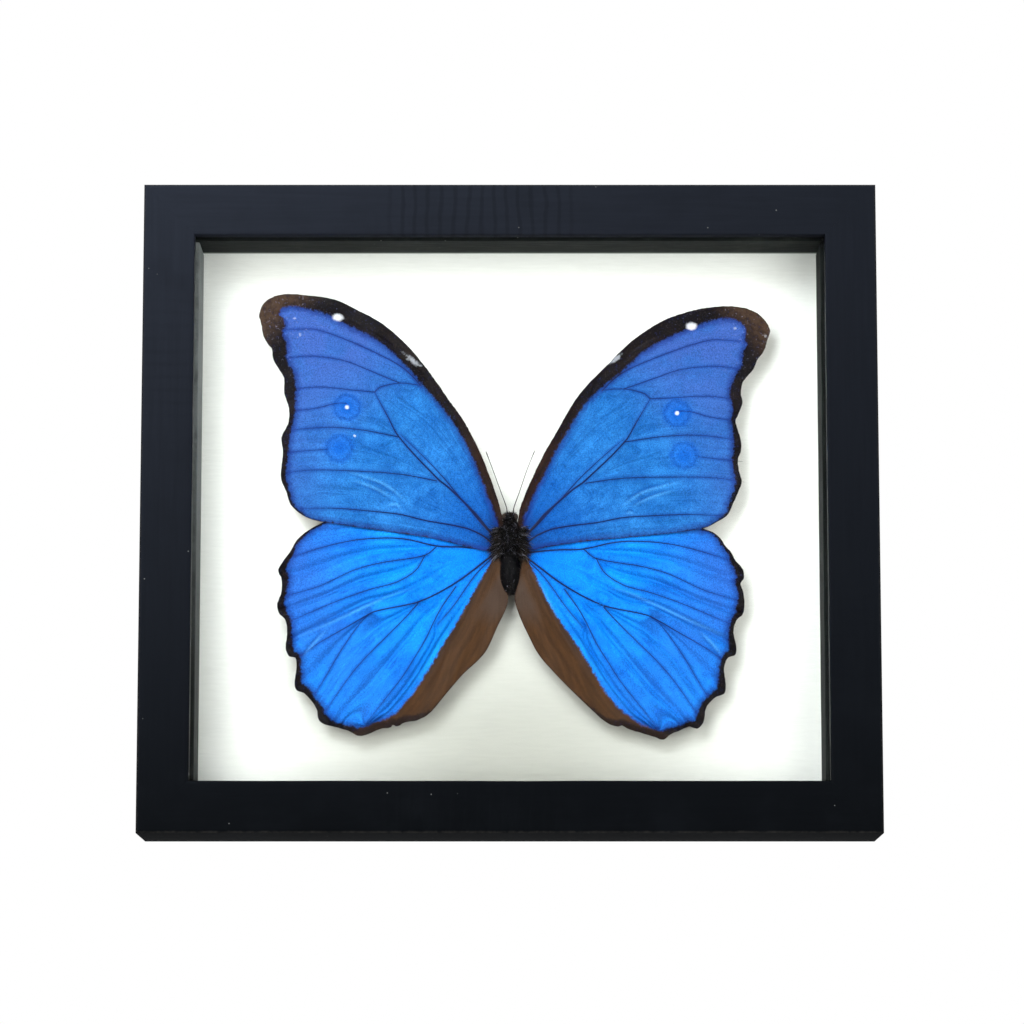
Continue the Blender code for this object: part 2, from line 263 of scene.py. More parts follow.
def new_group(name, vectors, values, results):
    """A node group with its inputs and outputs, ready to be filled."""
    group = bpy.data.node_groups.new(name, "ShaderNodeTree")
    for names, way, kind in ((vectors, "INPUT", "NodeSocketVector"),
                             (values, "INPUT", "NodeSocketFloat"),
                             (results, "OUTPUT", "NodeSocketFloat")):
        for title in names:
            group.interface.new_socket(title, in_out=way, socket_type=kind)
    given = add_node(group, "NodeGroupInput").outputs
    wanted = add_node(group, "NodeGroupOutput").inputs
    return group, given, wanted


def speckle_group():
    """Sparse light dust specks, and the soft blotches that handling leaves."""
    group, given, wanted = new_group("dust and blotches", ["Vector"], ["Speck Scale", "Amount"],
                                     ["Specks", "Blotches"])
    cells = add_node(group, "ShaderNodeTexVoronoi",
                     {"Vector": given["Vector"], "Scale": given["Speck Scale"]})
    near = span(group, cells.outputs["Distance"], 0.10, 0.05)
    chosen = add_node(group, "ShaderNodeSeparateColor", {"Color": cells.outputs["Color"]})
    few = maths(group, "LESS_THAN", chosen.outputs["Red"], given["Amount"])
    put(group, wanted["Specks"], times(group, near, few))
    put(group, wanted["Blotches"], cloud(group, given["Vector"], 60.0, 4.0, 0.6))
    return group


DUST = speckle_group()


def dust_nodes(tree, place, scale, amount):
    node = add_node(tree, "ShaderNodeGroup", node_tree=DUST)
    for name, value in (("Vector", place), ("Speck Scale", scale), ("Amount", amount)):
        put(tree, node.inputs[name], value)
    return node.outputs["Specks"], node.outputs["Blotches"]


def black_wood(side):
    """Satin black over wood: fine pores along it, chatter marks across it, rubbed outer edges.

    A painted sheen grows upward and to the left. The underside was left unsanded and is dull.
    """
    material, tree, shader = new_material("satin black " + side)
    place = place_of(tree)
    axes = axes_of(tree, place)
    lies_flat = side in ("top", "bottom")
    run = axes["X"] if lies_flat else axes["Z"]
    grain = drawn_out(tree, place, (40, 900, 900) if lies_flat else (900, 900, 40), 4.0, 0.6)
    chatter_at = plus(tree, run, times(tree, drawn_out(tree, place, (60, 60, 60)), 0.004))
    chatter_at = times(tree, chatter_at, 2 * math.pi / CHATTER_PITCH)
    chatter = span(tree, maths(tree, "SINE", chatter_at), 0.2, 1.0)
    if lies_flat:
        from_mark = maths(tree, "ABSOLUTE", plus(tree, axes["X"], -CHATTER_MIDDLE))
        marked = span(tree, from_mark, 30 * MM, 22 * MM)
    else:
        marked = span(tree, cloud(tree, place, 22.0), 0.5, 0.8)
    chatter = times(tree, chatter, marked)
    specks, blotches = dust_nodes(tree, place, 420.0, 0.05)
    out_x = minus(tree, FRAME_HIGH.x, maths(tree, "ABSOLUTE", axes["X"]))
    from_middle = maths(tree, "ABSOLUTE", minus(tree, axes["Z"], FRAME_MIDDLE.z))
    out_z = minus(tree, FRAME_HIGH.z - FRAME_MIDDLE.z, from_middle)
    out_y = minus(tree, axes["Y"], FRAME_LOW.y)
    from_arris = plus(tree, maths(tree, "MINIMUM", out_x, out_z), out_y)
    ragged = times(tree, cloud(tree, place, 700.0, 4.0, 0.7), 0.0010)
    rubbed = span(tree, plus(tree, from_arris, ragged), RUBBED_FROM, RUBBED_TO)
    # Painted sheen: a pale bluish grey, stronger upward and to the left, for light the satin
    # reflects.
    climb = maths(tree, "DIVIDE", minus(tree, axes["Z"], FRAME_LOW.z), FRAME_HIGH.z - FRAME_LOW.z)
    leftward = minus(tree, 0.72, times(tree, axes["X"], 1.9))
    painted_sheen = times(tree, times(tree, climb, leftward), span(tree, grain, 0.2, 0.8, 0.9, 1.1))
    colour = blend(tree, grain, (0.0004, 0.0005, 0.0007), (0.0011, 0.0013, 0.0017))
    colour = blend(tree, painted_sheen, colour, (0.0158, 0.0190, 0.0285))
    colour = over(tree, colour, chatter, (0.0006, 0.0007, 0.0010), 0.24)
    colour = blend(tree, span(tree, blotches, 0.45, 0.75, 0.0, 0.25), colour, (0.005, 0.006, 0.008))
    colour = over(tree, colour, rubbed, (0.035, 0.033, 0.030), 0.5)
    colour = over(tree, colour, specks, (0.20, 0.21, 0.21), 0.6)
    uneven = plus(tree, blotches, times(tree, chatter, 0.2))
    facing = axes_of(tree, add_node(tree, "ShaderNodeNewGeometry").outputs["Normal"])["Z"]
    unsanded = span(tree, facing, -0.5, -0.9)
    roughness = maths(tree, "MAXIMUM", span(tree, uneven, 0.3, 0.8, 0.42, 0.50), unsanded)
    skin = bump_of(tree, grain, 0.00004, 0.6)
    skin = bump_of(tree, chatter, 0.00003, 0.5, skin)
    finish_shader(tree, shader, {
        "Base Color": colour, "Roughness": roughness, "Normal": skin,
        "Specular IOR Level": 0.06, "Specular Tint": (0.66, 0.80, 1.0)})
    return material


def rail_profile(front, back):
    """The rail's section: how far in from the frame's outer edge, and how deep."""
    lip = front + RAIL_LIP
    section = [(0.0, back), (0.0, front + ARRIS)]
    for turn in (0.35, 0.7):
        angle = turn * math.pi / 2
        section.append((ARRIS * (1 - math.cos(angle)), front + ARRIS * (1 - math.sin(angle))))
    section += [(inward, front) for inward in
                (ARRIS, ARRIS + 0.6, RAIL_FACE / 2, RAIL_FACE - ARRIS - 0.5)]
    for turn in (0.0, 0.35, 0.7, 1.0):
        angle = turn * math.pi / 2
        section.append((RAIL_FACE - LIP_ROUND * (1 - math.sin(angle)),
                        front + LIP_ROUND * (1 - math.cos(angle))))
    section += [(RAIL_FACE, lip - LIP_CHAMFER), (RAIL_FACE - LIP_CHAMFER, lip),
                (RAIL_FACE - RAIL_RABBET, lip), (RAIL_FACE - RAIL_RABBET, back)]
    return section


def rail_mesh(side, material):
    """A length of the section with closed mitres, its inner edge a little uneven."""
    low, high = FRAME_LOW / MM, FRAME_HIGH / MM
    section = rail_profile(low.y, high.y)
    flat = side in ("top", "bottom")
    half = (high.x - low.x) / 2 if flat else (high.z - low.z) / 2
    rng = np.random.default_rng(RAIL_SIDES.index(side) + 21)
    noise = rng.normal(0.0, 1.0, RAIL_STATIONS + 1)
    wander = np.convolve(noise, np.ones(9) / 9, "same") * LIP_WANDER
    bm = bmesh.new()
    rings = []
    for k in range(RAIL_STATIONS + 1):
        share = 2 * k / RAIL_STATIONS - 1
        ring = []
        for inward, depth in section:
            run = share * (half - inward - MITRE_GAP)
            if depth < low.y + 3.0 and inward > RAIL_FACE - 1.5:
                inward -= wander[k] * (1 - share ** 4)
            across = {"top": (run, high.z - inward), "bottom": (run, low.z + inward),
                      "left": (low.x + inward, (low.z + high.z) / 2 + run),
                      "right": (high.x - inward, (low.z + high.z) / 2 + run)}[side]
            middle = (low.x + high.x) / 2 if flat else 0.0
            ring.append(bm.verts.new(((across[0] + middle) * MM, depth * MM, across[1] * MM)))
        rings.append(ring)
    count = len(section)
    for one, two in zip(rings, rings[1:]):
        for k in range(count):
            bm.faces.new((one[k], one[(k + 1) % count], two[(k + 1) % count], two[k]))
    bm.faces.new(rings[0])
    bm.faces.new(rings[-1])
    bmesh.ops.recalc_face_normals(bm, faces=bm.faces)
    for face in bm.faces:
        face.smooth = True
    mesh = bpy.data.meshes.new("rail_" + side)
    bm.to_mesh(mesh)
    bm.free()
    mesh.set_sharp_from_angle(angle=math.radians(50))
    mesh.materials.append(material)
    rail = add_object("rail_" + side, mesh)
    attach(rail, "root")
    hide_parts("frame_rail_" + side)


for side in RAIL_SIDES:
    rail_mesh(side, black_wood(side))


# Glass. One pane of 2 mm picture glass with a coat against reflections, cut to the rabbet
# and held behind the lip. The coat is why its index is so low: the pane hardly mirrors.
GLASS_INDEX = 1.12


def dress(node_name, material):
    """Gives a solid of the frame its finish."""
    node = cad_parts[node_name]
    node.data.materials.clear()
    node.data.materials.append(material)


def clear_glass():
    material, tree, shader = new_material("clear picture glass")
    finish_shader(tree, shader, {
        "Base Color": (0.97, 0.995, 0.985), "Roughness": 0.0, "IOR": GLASS_INDEX,
        "Transmission Weight": 1.0, "Metallic": 0.0})
    smear = drawn_out(tree, place_of(tree), (30, 1, 14))
    put(tree, shader.inputs["Normal"], bump_of(tree, smear, 0.00002, 0.05))
    lets_light_by = add_node(tree, "ShaderNodeBsdfTransparent", {"Color": (0.95, 0.96, 0.955)})
    shadow_ray = add_node(tree, "ShaderNodeLightPath").outputs["Is Shadow Ray"]
    mixed = add_node(tree, "ShaderNodeMixShader")
    put(tree, mixed.inputs[0], shadow_ray)
    tree.links.new(shader.outputs[0], mixed.inputs[1])
    tree.links.new(lets_light_by.outputs[0], mixed.inputs[2])
    tree.links.new(mixed.outputs[0], tree.nodes["Material Output"].inputs["Surface"])
    return material


dress("glass_pane", clear_glass())


# Spacers. Four strips of board, painted grey black, that stand round the inside of the
# rabbet and keep the glass away from the butterfly. The left one has a painted glare, paler upward.
SPACER_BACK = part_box("spacer_top")[1].y


def spacer_paint(name, shine, glare_strength):
    """Dragged paint, a dark line 2 to 3 mm before the back edge, and a pale band behind it."""
    material, tree, shader = new_material(name)
    place = place_of(tree)
    drag = drawn_out(tree, place, (120, 700, 120), 5.0, 0.65)
    specks, blotches = dust_nodes(tree, place, 500.0, 0.12)
    axes = axes_of(tree, place)
    from_back = [SPACER_BACK - gap * MM for gap in (3.2, 2.9, 2.3, 2.0)]
    colour = blend(tree, drag, (0.004, 0.005, 0.005), (0.013, 0.015, 0.015))
    colour = blend(tree, span(tree, blotches, 0.5, 0.8, 0.0, 0.6), colour, (0.030, 0.034, 0.031))
    colour = blend(tree, specks, colour, (0.12, 0.125, 0.115))
    pale_band = span(tree, axes["Y"], from_back[2], from_back[3])
    colour = blend(tree, pale_band, colour, (0.10, 0.12, 0.11))
    dark_line = times(tree, span(tree, axes["Y"], from_back[0], from_back[1]),
                 span(tree, axes["Y"], from_back[3], from_back[2]))
    colour = blend(tree, dark_line, colour, (0.003, 0.003, 0.003))
    # Painted glare: paler toward the top, for the white board that the glossy paint mirrors there.
    painted_glare = span(tree, axes["Z"], FRAME_LOW.z + 30 * MM, FRAME_HIGH.z - 30 * MM, 0.0, glare_strength)
    painted_glare = times(tree, painted_glare, span(tree, drag, 0.3, 0.6, 0.5, 1.0))
    colour = blend(tree, painted_glare, colour, (0.21, 0.225, 0.23))
    skin = bump_of(tree, drag, 0.00016, 0.9)
    finish_shader(tree, shader, {
        "Base Color": colour, "Roughness": span(tree, drag, 0.2, 0.8, 0.55, 0.75), "Normal": skin,
        "Specular IOR Level": shine})
    return material


dull_paint = spacer_paint("rough grey black paint", 0.03, 0.0)
paint_with_glare = spacer_paint("grey black paint with painted glare", 0.20, 0.85)
for side in RAIL_SIDES:
    dress("spacer_" + side, paint_with_glare if side == "left" else dull_paint)


# Mount board. A sheet of white board behind the spacers that the butterfly is fixed to,
# with a faintly laid and mottled paper face, a few specks, and a painted shade at its foot.
PAINTED_SHADE_REACH, PAINTED_SHADE_HEART = 110 * MM, 6 * MM


def grey(tree, value):
    """A grey of the same value in each channel."""
    return add_node(tree, "ShaderNodeCombineColor", {0: value, 1: value, 2: value}).outputs[0]


def board_paper():
    material, tree, shader = new_material("white board paper")
    place = place_of(tree)
    tooth = cloud(tree, place, 2200.0, 3.0, 0.6)
    mottle = cloud(tree, place, 700.0, 4.0, 0.7)
    specks, blotches = dust_nodes(tree, place, 150.0, 0.004)
    colour = blend(tree, mottle, (0.900, 0.903, 0.880), (0.955, 0.957, 0.938))
    axes = axes_of(tree, place)
    upward = minus(tree, axes["Z"], FRAME_LOW.z + 10 * MM)
    from_foot = maths(tree, "SQRT", plus(tree, times(tree, axes["X"], axes["X"]),
                                         times(tree, upward, upward)))
    # Painted shade: the paper turns a darker grey toward the middle of its foot.
    painted_shade = span(tree, from_foot, PAINTED_SHADE_REACH, PAINTED_SHADE_HEART)
    colour = blend(tree, painted_shade, colour, (0.400, 0.398, 0.362))
    laid = drawn_out(tree, place, (160, 160, 1500), 3.0, 0.6)
    laid = plus(tree, span(tree, laid, 0.3, 0.7, 0.962, 1.0),
                span(tree, blotches, 0.5, 0.8, 0.0, -0.02))
    colour = blend(tree, 1.0, colour, grey(tree, laid), "MULTIPLY")
    colour = over(tree, colour, specks, (0.30, 0.29, 0.27), 0.6)
    skin = bump_of(tree, plus(tree, tooth, mottle), 0.00005, 0.5)
    finish_shader(tree, shader, {"Base Color": colour, "Roughness": 0.85, "Normal": skin,
                                 "Specular IOR Level": 0.3})
    return material


dress("mount_board", board_paper())


# Back. A sheet of brown hardboard with its smooth face out, held by eight zinc plated
# points, and a sawtooth hanger nailed across the middle of the top rail.
def hardboard():
    material, tree, shader = new_material("brown hardboard")
    place = place_of(tree)
    fibres = drawn_out(tree, place, (500, 500, 900), 6.0, 0.7)
    long_fibres = drawn_out(tree, place, (120, 120, 800), 5.0, 0.7)
    specks, blotches = dust_nodes(tree, place, 260.0, 0.10)
    colour = blend(tree, fibres, (0.085, 0.045, 0.022), (0.210, 0.125, 0.065))
    colour = blend(tree, span(tree, long_fibres, 0.55, 0.75, 0.0, 0.6), colour, (0.29, 0.19, 0.11))
    colour = blend(tree, span(tree, blotches, 0.4, 0.7, 0.0, 0.5), colour, (0.12, 0.068, 0.036))
    colour = blend(tree, specks, colour, (0.04, 0.025, 0.015))
    skin = bump_of(tree, fibres, 0.00006, 0.5)
    finish_shader(tree, shader, {
        "Base Color": colour, "Roughness": span(tree, fibres, 0.2, 0.8, 0.45, 0.7), "Normal": skin})
    return material


def zinc_plate():
    material, tree, shader = new_material("dull zinc plate")
    place = place_of(tree)
    rolled = drawn_out(tree, place, (300, 2500, 2500), 4.0, 0.6)
    specks, blotches = dust_nodes(tree, place, 900.0, 0.15)
    colour = blend(tree, rolled, (0.46, 0.45, 0.42), (0.70, 0.69, 0.66))
    colour = blend(tree, span(tree, blotches, 0.5, 0.75, 0.0, 0.6), colour, (0.40, 0.37, 0.31))
    colour = blend(tree, specks, colour, (0.20, 0.15, 0.10))
    skin = bump_of(tree, rolled, 0.00002, 0.4)
    finish_shader(tree, shader, {
        "Base Color": colour, "Metallic": 1.0, "Normal": skin,
        "Roughness": span(tree, blotches, 0.2, 0.8, 0.28, 0.50)})
    return material


dress("back_panel", hardboard())
zinc = zinc_plate()
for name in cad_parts:
    if name.startswith(("panel_point", "sawtooth_hanger", "hanger_nail")):
        dress(name, zinc)


# Forewings. Two dried wings, each a thin skin stretched over hollow veins and shingled with
# blue scales; spread flat when soft and dried so. They grow from the thorax's upper sides.
THORAX_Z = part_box("butterfly_body")[1].z - 7.4 * MM
WING_SKIN = 0.16
MESH_STEP = 0.34
HEM_STEP = 0.30
HEM_FRAY = 0.05
VEIN_SIDES = 6
FOREWING_PLANE = sum(corner.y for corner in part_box("forewing_left")) / 2 / MM
FOREWING_PLEAT = 0.06

# Outlines, in millimetres from the middle of the thorax, with the black border's width.
FOREWING_OUTLINE = {
    "left": [
        (-2.2, 5.9, 1.4), (-3.3, 10.4, 2.1), (-5.5, 16.9, 2.3), (-8.3, 23.9, 2.4),
        (-12.8, 32.7, 2.5), (-17, 38.7, 2.7), (-19.5, 42.4, 3.2), (-24.9, 49.8, 4),
        (-30.2, 55.8, 4.2), (-36.4, 60.9, 4.6), (-43.7, 64.9, 5), (-49.6, 67.5, 4.6),
        (-58.3, 68.8, 3.5), (-63.1, 68.9, 3.4), (-66.7, 68, 4.6), (-69.2, 66, 6.2),
        (-70.3, 62.9, 6.8), (-69.7, 60.6, 6.4), (-69.1, 57.2, 5.8), (-67.7, 54.6, 4.9),
        (-66.6, 53.2, 4.2), (-66.3, 50.6, 3.6), (-64.6, 47.5, 3), (-63.2, 45.2, 2.9),
        (-63.1, 41, 3.2), (-61.7, 36.1, 1.6), (-61.9, 32.2, 1.2), (-63.7, 28.2, 2.2),
        (-63.3, 23.9, 1.4), (-63.8, 18.3, 1.4), (-63.6, 15.8, 1.3), (-62.3, 12.9, 0.9),
        (-61.2, 9.5, 0.6), (-59.2, 7.3, 0.5), (-55.9, 5.3, 0.25), (-51.4, 4.2, 0.1),
        (-36.1, 1.9, 0), (-21.6, -0.3, 0), (-12.2, -2.6, 0), (-6.3, -3.7, 0), (-3.6, -2.3, 0.4),
        (-1.9, 1.9, 1.2)],
    "right": [
        (2.4, 5.9, 1.4), (3.1, 9, 2.1), (5.6, 15.2, 2.3), (9, 22.5, 2.4), (14.3, 31.9, 2.5),
        (18.2, 38.7, 2.7), (22.4, 43.8, 3.2), (28.3, 49.8, 4.2), (33.7, 55.2, 4.3),
        (39.3, 59.2, 4.6), (44.1, 61.9, 4.9), (51.1, 64.2, 4.4), (58.9, 65.5, 3.4),
        (64.8, 65.2, 3.8), (69.3, 63.5, 5.6), (71.8, 60.9, 6.8), (72.9, 58.6, 6.9),
        (72.3, 56.3, 6.4), (70.9, 52.3, 5.2), (69.2, 50.1, 4.3), (68.3, 47.8, 3.6),
        (65.2, 43.8, 2.6), (64.6, 40.7, 3), (65, 38.1, 3), (63.7, 34.4, 1.5), (63, 32.7, 1.1),
        (64.4, 27.6, 1.8), (64.5, 24.5, 2), (63.6, 21.7, 1.5), (63.9, 18.6, 1.3),
        (64.6, 15.5, 1.6), (63.7, 12.9, 1.2), (62.1, 9.3, 0.8), (60.7, 6.4, 0.6),
        (58.5, 4.8, 0.3), (53.7, 2.5, 0.1), (39, 0.5, 0), (21.5, -1.1, 0), (8.4, -3.1, 0),
        (4.8, -3.7, 0), (3.1, -1.4, 0.4), (2.3, 1.9, 1.2)]}
# Veins by name: number from front to back, thickness at the root and at the tip, and course.
# A guide has no thickness. It only steers the pleats and streaks.
FOREWING_VEINS = {
    "front guide": (0.0, 0, 0, [
        (-2.4, 5.9), (-5.5, 16.9), (-12.8, 32.7), (-19.5, 42.4), (-30.2, 55.8), (-43.7, 64.9),
        (-58.3, 68.9), (-68.4, 67.2)]),
    "first radial": (2.0, 0.30, 0.12, [
        (-24.8, 42.7), (-27.6, 45.8), (-30.7, 48.4), (-36.3, 51.5), (-46.2, 56), (-54.3, 58.8),
        (-58.8, 58.9), (-64.1, 58.6)]),
    "second radial": (3.0, 0.24, 0.12, [
        (-30.7, 43.5), (-38.8, 46.9), (-46.1, 49.8), (-55.6, 51.2), (-62.9, 50.6)]),
    "upper guide": (4.0, 0, 0, [(-38, 41.2), (-46.1, 45.8), (-53.4, 46.9), (-62, 46.1)]),
    "middle": (5.0, 0.22, 0.12, [(-37.8, 41), (-43.6, 41.5), (-53.3, 42.4), (-60.9, 41.8)]),
    "main": (6.0, 0.62, 0.26, [
        (-3.6, -0.9), (-7.2, 3.6), (-9.4, 6.4), (-16.9, 13.8), (-20, 16.3), (-30.9, 28.2),
        (-34.3, 34.4), (-36.3, 38.1), (-37.8, 41)]),
    "twin fold": (6.0, 0.40, 0.12, [
        (-4.4, 0.3), (-7.2, 3.1), (-13.3, 10.4), (-18.9, 17.2), (-24.5, 23.1), (-30.6, 29)]),
    "cross": (5.0, 0.24, 0.20, [(-37.8, 41), (-36.3, 42.4), (-30.7, 43.5), (-25.1, 42.9)]),
    "lower middle": (6.0, 0.20, 0.12, [
        (-45.5, 37.8), (-48.3, 37.8), (-54.1, 36.4), (-60.8, 35.6)]),
    "first cubital": (7.0, 0.26, 0.12, [
        (-30.9, 28.2), (-41.3, 30.2), (-50.8, 31), (-61.4, 30.2)]),
    "eye vein": (8.0, 0.12, 0.10, [(-50.7, 24.8), (-62.7, 23.9)]),
    "second cubital": (9.0, 0.26, 0.12, [
        (-20.3, 15.8), (-30.6, 17.7), (-43.4, 18.6), (-55.4, 18.9), (-63.2, 18)]),
    "anal": (10.0, 0.44, 0.14, [
        (-4.4, -2.3), (-7.4, 0.3), (-12.2, 2.5), (-24.1, 4.8), (-30.6, 6.4), (-38.6, 7.3),
        (-48.1, 8.1), (-58.4, 8.1)]),
    "rear guide": (11.0, 0, 0, [
        (-4.4, -3.1), (-12.2, -2.6), (-21.6, -0.3), (-36.1, 1.9), (-51.4, 4.2)])}
# The same marks on the left and the right wing, since the right one is set a little lower.
FOREWING_PAIRS = [
    ((-5.5, 1.7), (5.9, 1.7)), ((-69.8, 64.3), (72.4, 60)), ((-51.4, 4.2), (53.7, 2.5)),
    ((-45.5, 36.7), (46.7, 35)), ((-47.6, 25.1), (48.6, 23.1)), ((-48.2, 62.3), (50.8, 59.8)),
    ((-37.8, 41), (38.6, 39))]
FOREWING_CREASES = [
    [(-45.9, 18), (-41.2, 16.6), (-34.8, 14.1), (-29.2, 9.5)],
    [(-44, 15.5), (-37.8, 13.2), (-32.8, 10.4)],
    [(-33.9, 8.1), (-32, 8.7), (-30.8, 7.6)]]


def tone(red, green, blue):
    """A colour given as it shows on a screen, 0 to 255."""
    return tuple(((part / 255 + 0.055) / 1.055) ** 2.4 if part > 10 else part / 3294.6
                 for part in (red, green, blue))


def smooth_line(points, step, closed=False):
    """A smooth curve through the points, cut at even steps. Further columns go along with it."""
    rows = np.array(points, float)
    if closed:
        rows = np.vstack([rows[-1:], rows, rows[:2]])
    else:
        rows = np.vstack([2 * rows[0] - rows[1], rows, 2 * rows[-1] - rows[-2]])
    gaps = np.linalg.norm(np.diff(rows[:, :2], axis=0), axis=1)[:, None]
    slopes = (rows[2:] - rows[:-2]) / (gaps[1:] + gaps[:-1])
    t = np.linspace(0.0, 1.0, 17)[:-1, None]
    pieces = []
    for k in range(len(rows) - 3):
        leaning = (t ** 3 - 2 * t ** 2 + t) * slopes[k] + (t ** 3 - t ** 2) * slopes[k + 1]
        pieces.append((2 * t ** 3 - 3 * t ** 2 + 1) * rows[k + 1]
                      + (3 * t ** 2 - 2 * t ** 3) * rows[k + 2] + leaning * gaps[k + 1])
    fine = np.vstack(pieces + [rows[-2:-1]])
    run = np.concatenate([[0.0], np.cumsum(np.linalg.norm(np.diff(fine[:, :2], axis=0), axis=1))])
    stops = np.linspace(0.0, run[-1], max(2, round(run[-1] / step)) + 1)
    if closed:
        stops = stops[:-1]
    return np.column_stack([np.interp(stops, run, column) for column in fine.T])


def nearest_on(points, line, closed=False):
    """Each point's distance to a line, which side it is on, and the line's third column there."""
    ends = np.roll(line, -1, axis=0) if closed else line[1:]
    starts = line if closed else line[:-1]
    steps = (ends - starts)[:, :2]
    reach, side, extra = [], [], []
    for first in range(0, len(points), 2000):
        offset = points[first:first + 2000, None, :2] - starts[:, :2]
        share = ((offset * steps).sum(2) / (steps ** 2).sum(1)).clip(0.0, 1.0)
        gap = np.linalg.norm(offset - share[..., None] * steps, axis=2)
        best = gap.argmin(1)
        rows = np.arange(len(best))
        reach.append(gap[rows, best])
        cross = steps[best, 0] * offset[rows, best, 1] - steps[best, 1] * offset[rows, best, 0]
        side.append(np.sign(cross))
        if line.shape[1] > 2:
            extra.append(starts[best, 2] + share[rows, best] * (ends - starts)[best, 2])
    return np.concatenate(reach), np.concatenate(side), np.concatenate(extra) if extra else None


def inside(points, loop):
    """True for each point within a closed loop."""
    ahead = np.roll(loop, -1, axis=0)
    found = np.zeros(len(points), bool)
    for (x1, z1), (x2, z2) in zip(loop[:, :2], ahead[:, :2]):
        spans = (z1 > points[:, 1]) != (z2 > points[:, 1])
        if z1 != z2:
            found ^= spans & (points[:, 0] < x1 + (points[:, 1] - z1) * (x2 - x1) / (z2 - z1))
    return found


def matched(points, pairs):
    """Points of a left wing moved to the same places on the right wing."""
    left = np.array([pair[0] for pair in pairs], float)
    right = np.array([pair[1] for pair in pairs], float)
    turn = np.linalg.lstsq(np.column_stack([left, np.ones(len(left))]), right, rcond=None)[0]
    rows = np.array(points, float)
    return np.column_stack([rows[:, :2], np.ones(len(rows))]) @ turn


def step_up(value, low, high):
    share = np.clip((value - low) / (high - low), 0.0, 1.0)
    return share * share * (3 - 2 * share)


def make_mesh(name, vertices, faces, material_of_face, materials, sharp=75):
    """A smooth shaded object from places in millimetres, measured from the point of hanging."""
    mesh = bpy.data.meshes.new(name)
    mesh.from_pydata((np.asarray(vertices) * MM).tolist(), [], faces)
    for material in materials:
        mesh.materials.append(material)
    mesh.polygons.foreach_set("material_index", np.asarray(material_of_face, np.int32))
    mesh.polygons.foreach_set("use_smooth", np.ones(len(mesh.polygons), bool))
    mesh.update()
    mesh.set_sharp_from_angle(angle=math.radians(sharp))
    return add_object(name, mesh)


def store(obj, name, columns):
    """Keeps three values on every vertex for the material to read."""
    held = obj.data.attributes.new(name, "FLOAT_VECTOR", "POINT")
    held.data.foreach_set("vector", np.column_stack(columns).astype(np.float32).ravel())


class Wing:
    """One wing: its outline, veins and folds, and the shape that they give to its skin."""

    def __init__(self, side, outline, veins, pairs, plane, pleat, quiet, fold_line=None,
                 creases=()):
        def turned(line):
            return matched(line, pairs) if side == "right" else np.array(line, float)

        self.side, self.plane, self.pleat = side, plane, pleat
        rng = np.random.default_rng(11 if side == "left" else 12)
        rim = smooth_line(outline, HEM_STEP, closed=True)
        count = len(rim)
        ahead = np.roll(rim, -1, axis=0) - np.roll(rim, 1, axis=0)
        out = np.column_stack([ahead[:, 1], -ahead[:, 0]])
        out /= np.linalg.norm(out, axis=1)[:, None]
        noise = np.tile(rng.normal(0, 1, count), 3)
        frayed = np.convolve(noise, [0.25, 0.5, 0.25], "same")[count:2 * count]
        rim[:, :2] += out * (frayed * HEM_FRAY * np.clip(rim[:, 2], 0.15, 1.0))[:, None]
        self.rim = rim
        self.lines = {name: (number, thick, thin, smooth_line(turned(course), 1.0))
                      for name, (number, thick, thin, course) in veins.items()}
        self.fold_line = None if fold_line is None else smooth_line(fold_line, 1.0)
        self.creases = []
        for crease in creases:
            line = smooth_line(turned(crease), 0.8)
            fade = np.sin(np.linspace(0.1, math.pi - 0.1, len(line)))
            self.creases.append(np.column_stack([line[:, :2], fade]))
        self.quiet = smooth_line(turned(quiet), 1.0)

    def fields(self, points):
        """What the materials need to know at each point, and how far the skin stands out."""
        margin, _, width = nearest_on(points, self.rim, closed=True)
        gaps = np.array([nearest_on(points, line)[0] for _, _, _, line in self.lines.values()])
        numbers = np.array([number for number, _, _, _ in self.lines.values()])
        weight = 1.0 / (gaps + 0.25) ** 3
        across = (weight * numbers[:, None]).sum(0) / weight.sum(0)
        drawn = np.array([thick > 0 for _, thick, _, _ in self.lines.values()])
        vein = gaps[drawn].min(0)
        fold = np.full(len(points), 40.0)
        if self.fold_line is not None:
            reach, sign, _ = nearest_on(points, self.fold_line)
            fold = reach * sign * (-1 if self.side == "left" else 1)
        along = np.hypot(points[:, 0], points[:, 1])
        overlap = 1 - step_up(nearest_on(points, self.quiet)[0], 1.5, 9.0)
        crease, gleam = np.zeros(len(points)), np.zeros(len(points))
        for line in self.creases:
            reach, sign, fade = nearest_on(points, line)
            crease += fade * np.exp(-(reach / 0.42) ** 2)
            gleam += fade * np.exp(-((reach * sign - 0.65) / 0.35) ** 2)
        # Pleats between the veins, the rise to each vein and its ridge, creases, the waves of
        # the hem and those of the whole skin, all flatter where the two wings overlap.
        height = self.pleat * np.cos(2 * math.pi * across) * step_up(along, 14.0, 34.0)
        height += 0.18 * np.exp(-vein / 1.8)
        height += 0.10 * np.exp(-(vein / 0.5) ** 2) - 0.25 * crease
        height += 0.22 * np.sin(along * 0.55 + across * 1.7) * (1 - step_up(margin, 0.0, 7.0))
        height += 0.10 * np.sin(points[:, 0] * 0.23 + 1.0) * np.sin(points[:, 1] * 0.19)
        height *= 1 - 0.65 * overlap
        return {"border": margin - width, "margin": margin, "fold": fold, "across": across,
                "along": along, "vein": vein, "crease": crease.clip(0.0, 1.0),
                "gleam": gleam.clip(0.0, 1.0), "height": height.clip(-0.5, 0.5)}


def kept(fields):
    """The fields that the wing's materials read, a column each."""
    names = ("border", "margin", "fold", "across", "along", "vein", "crease", "gleam")
    return np.column_stack([fields[name] for name in names])


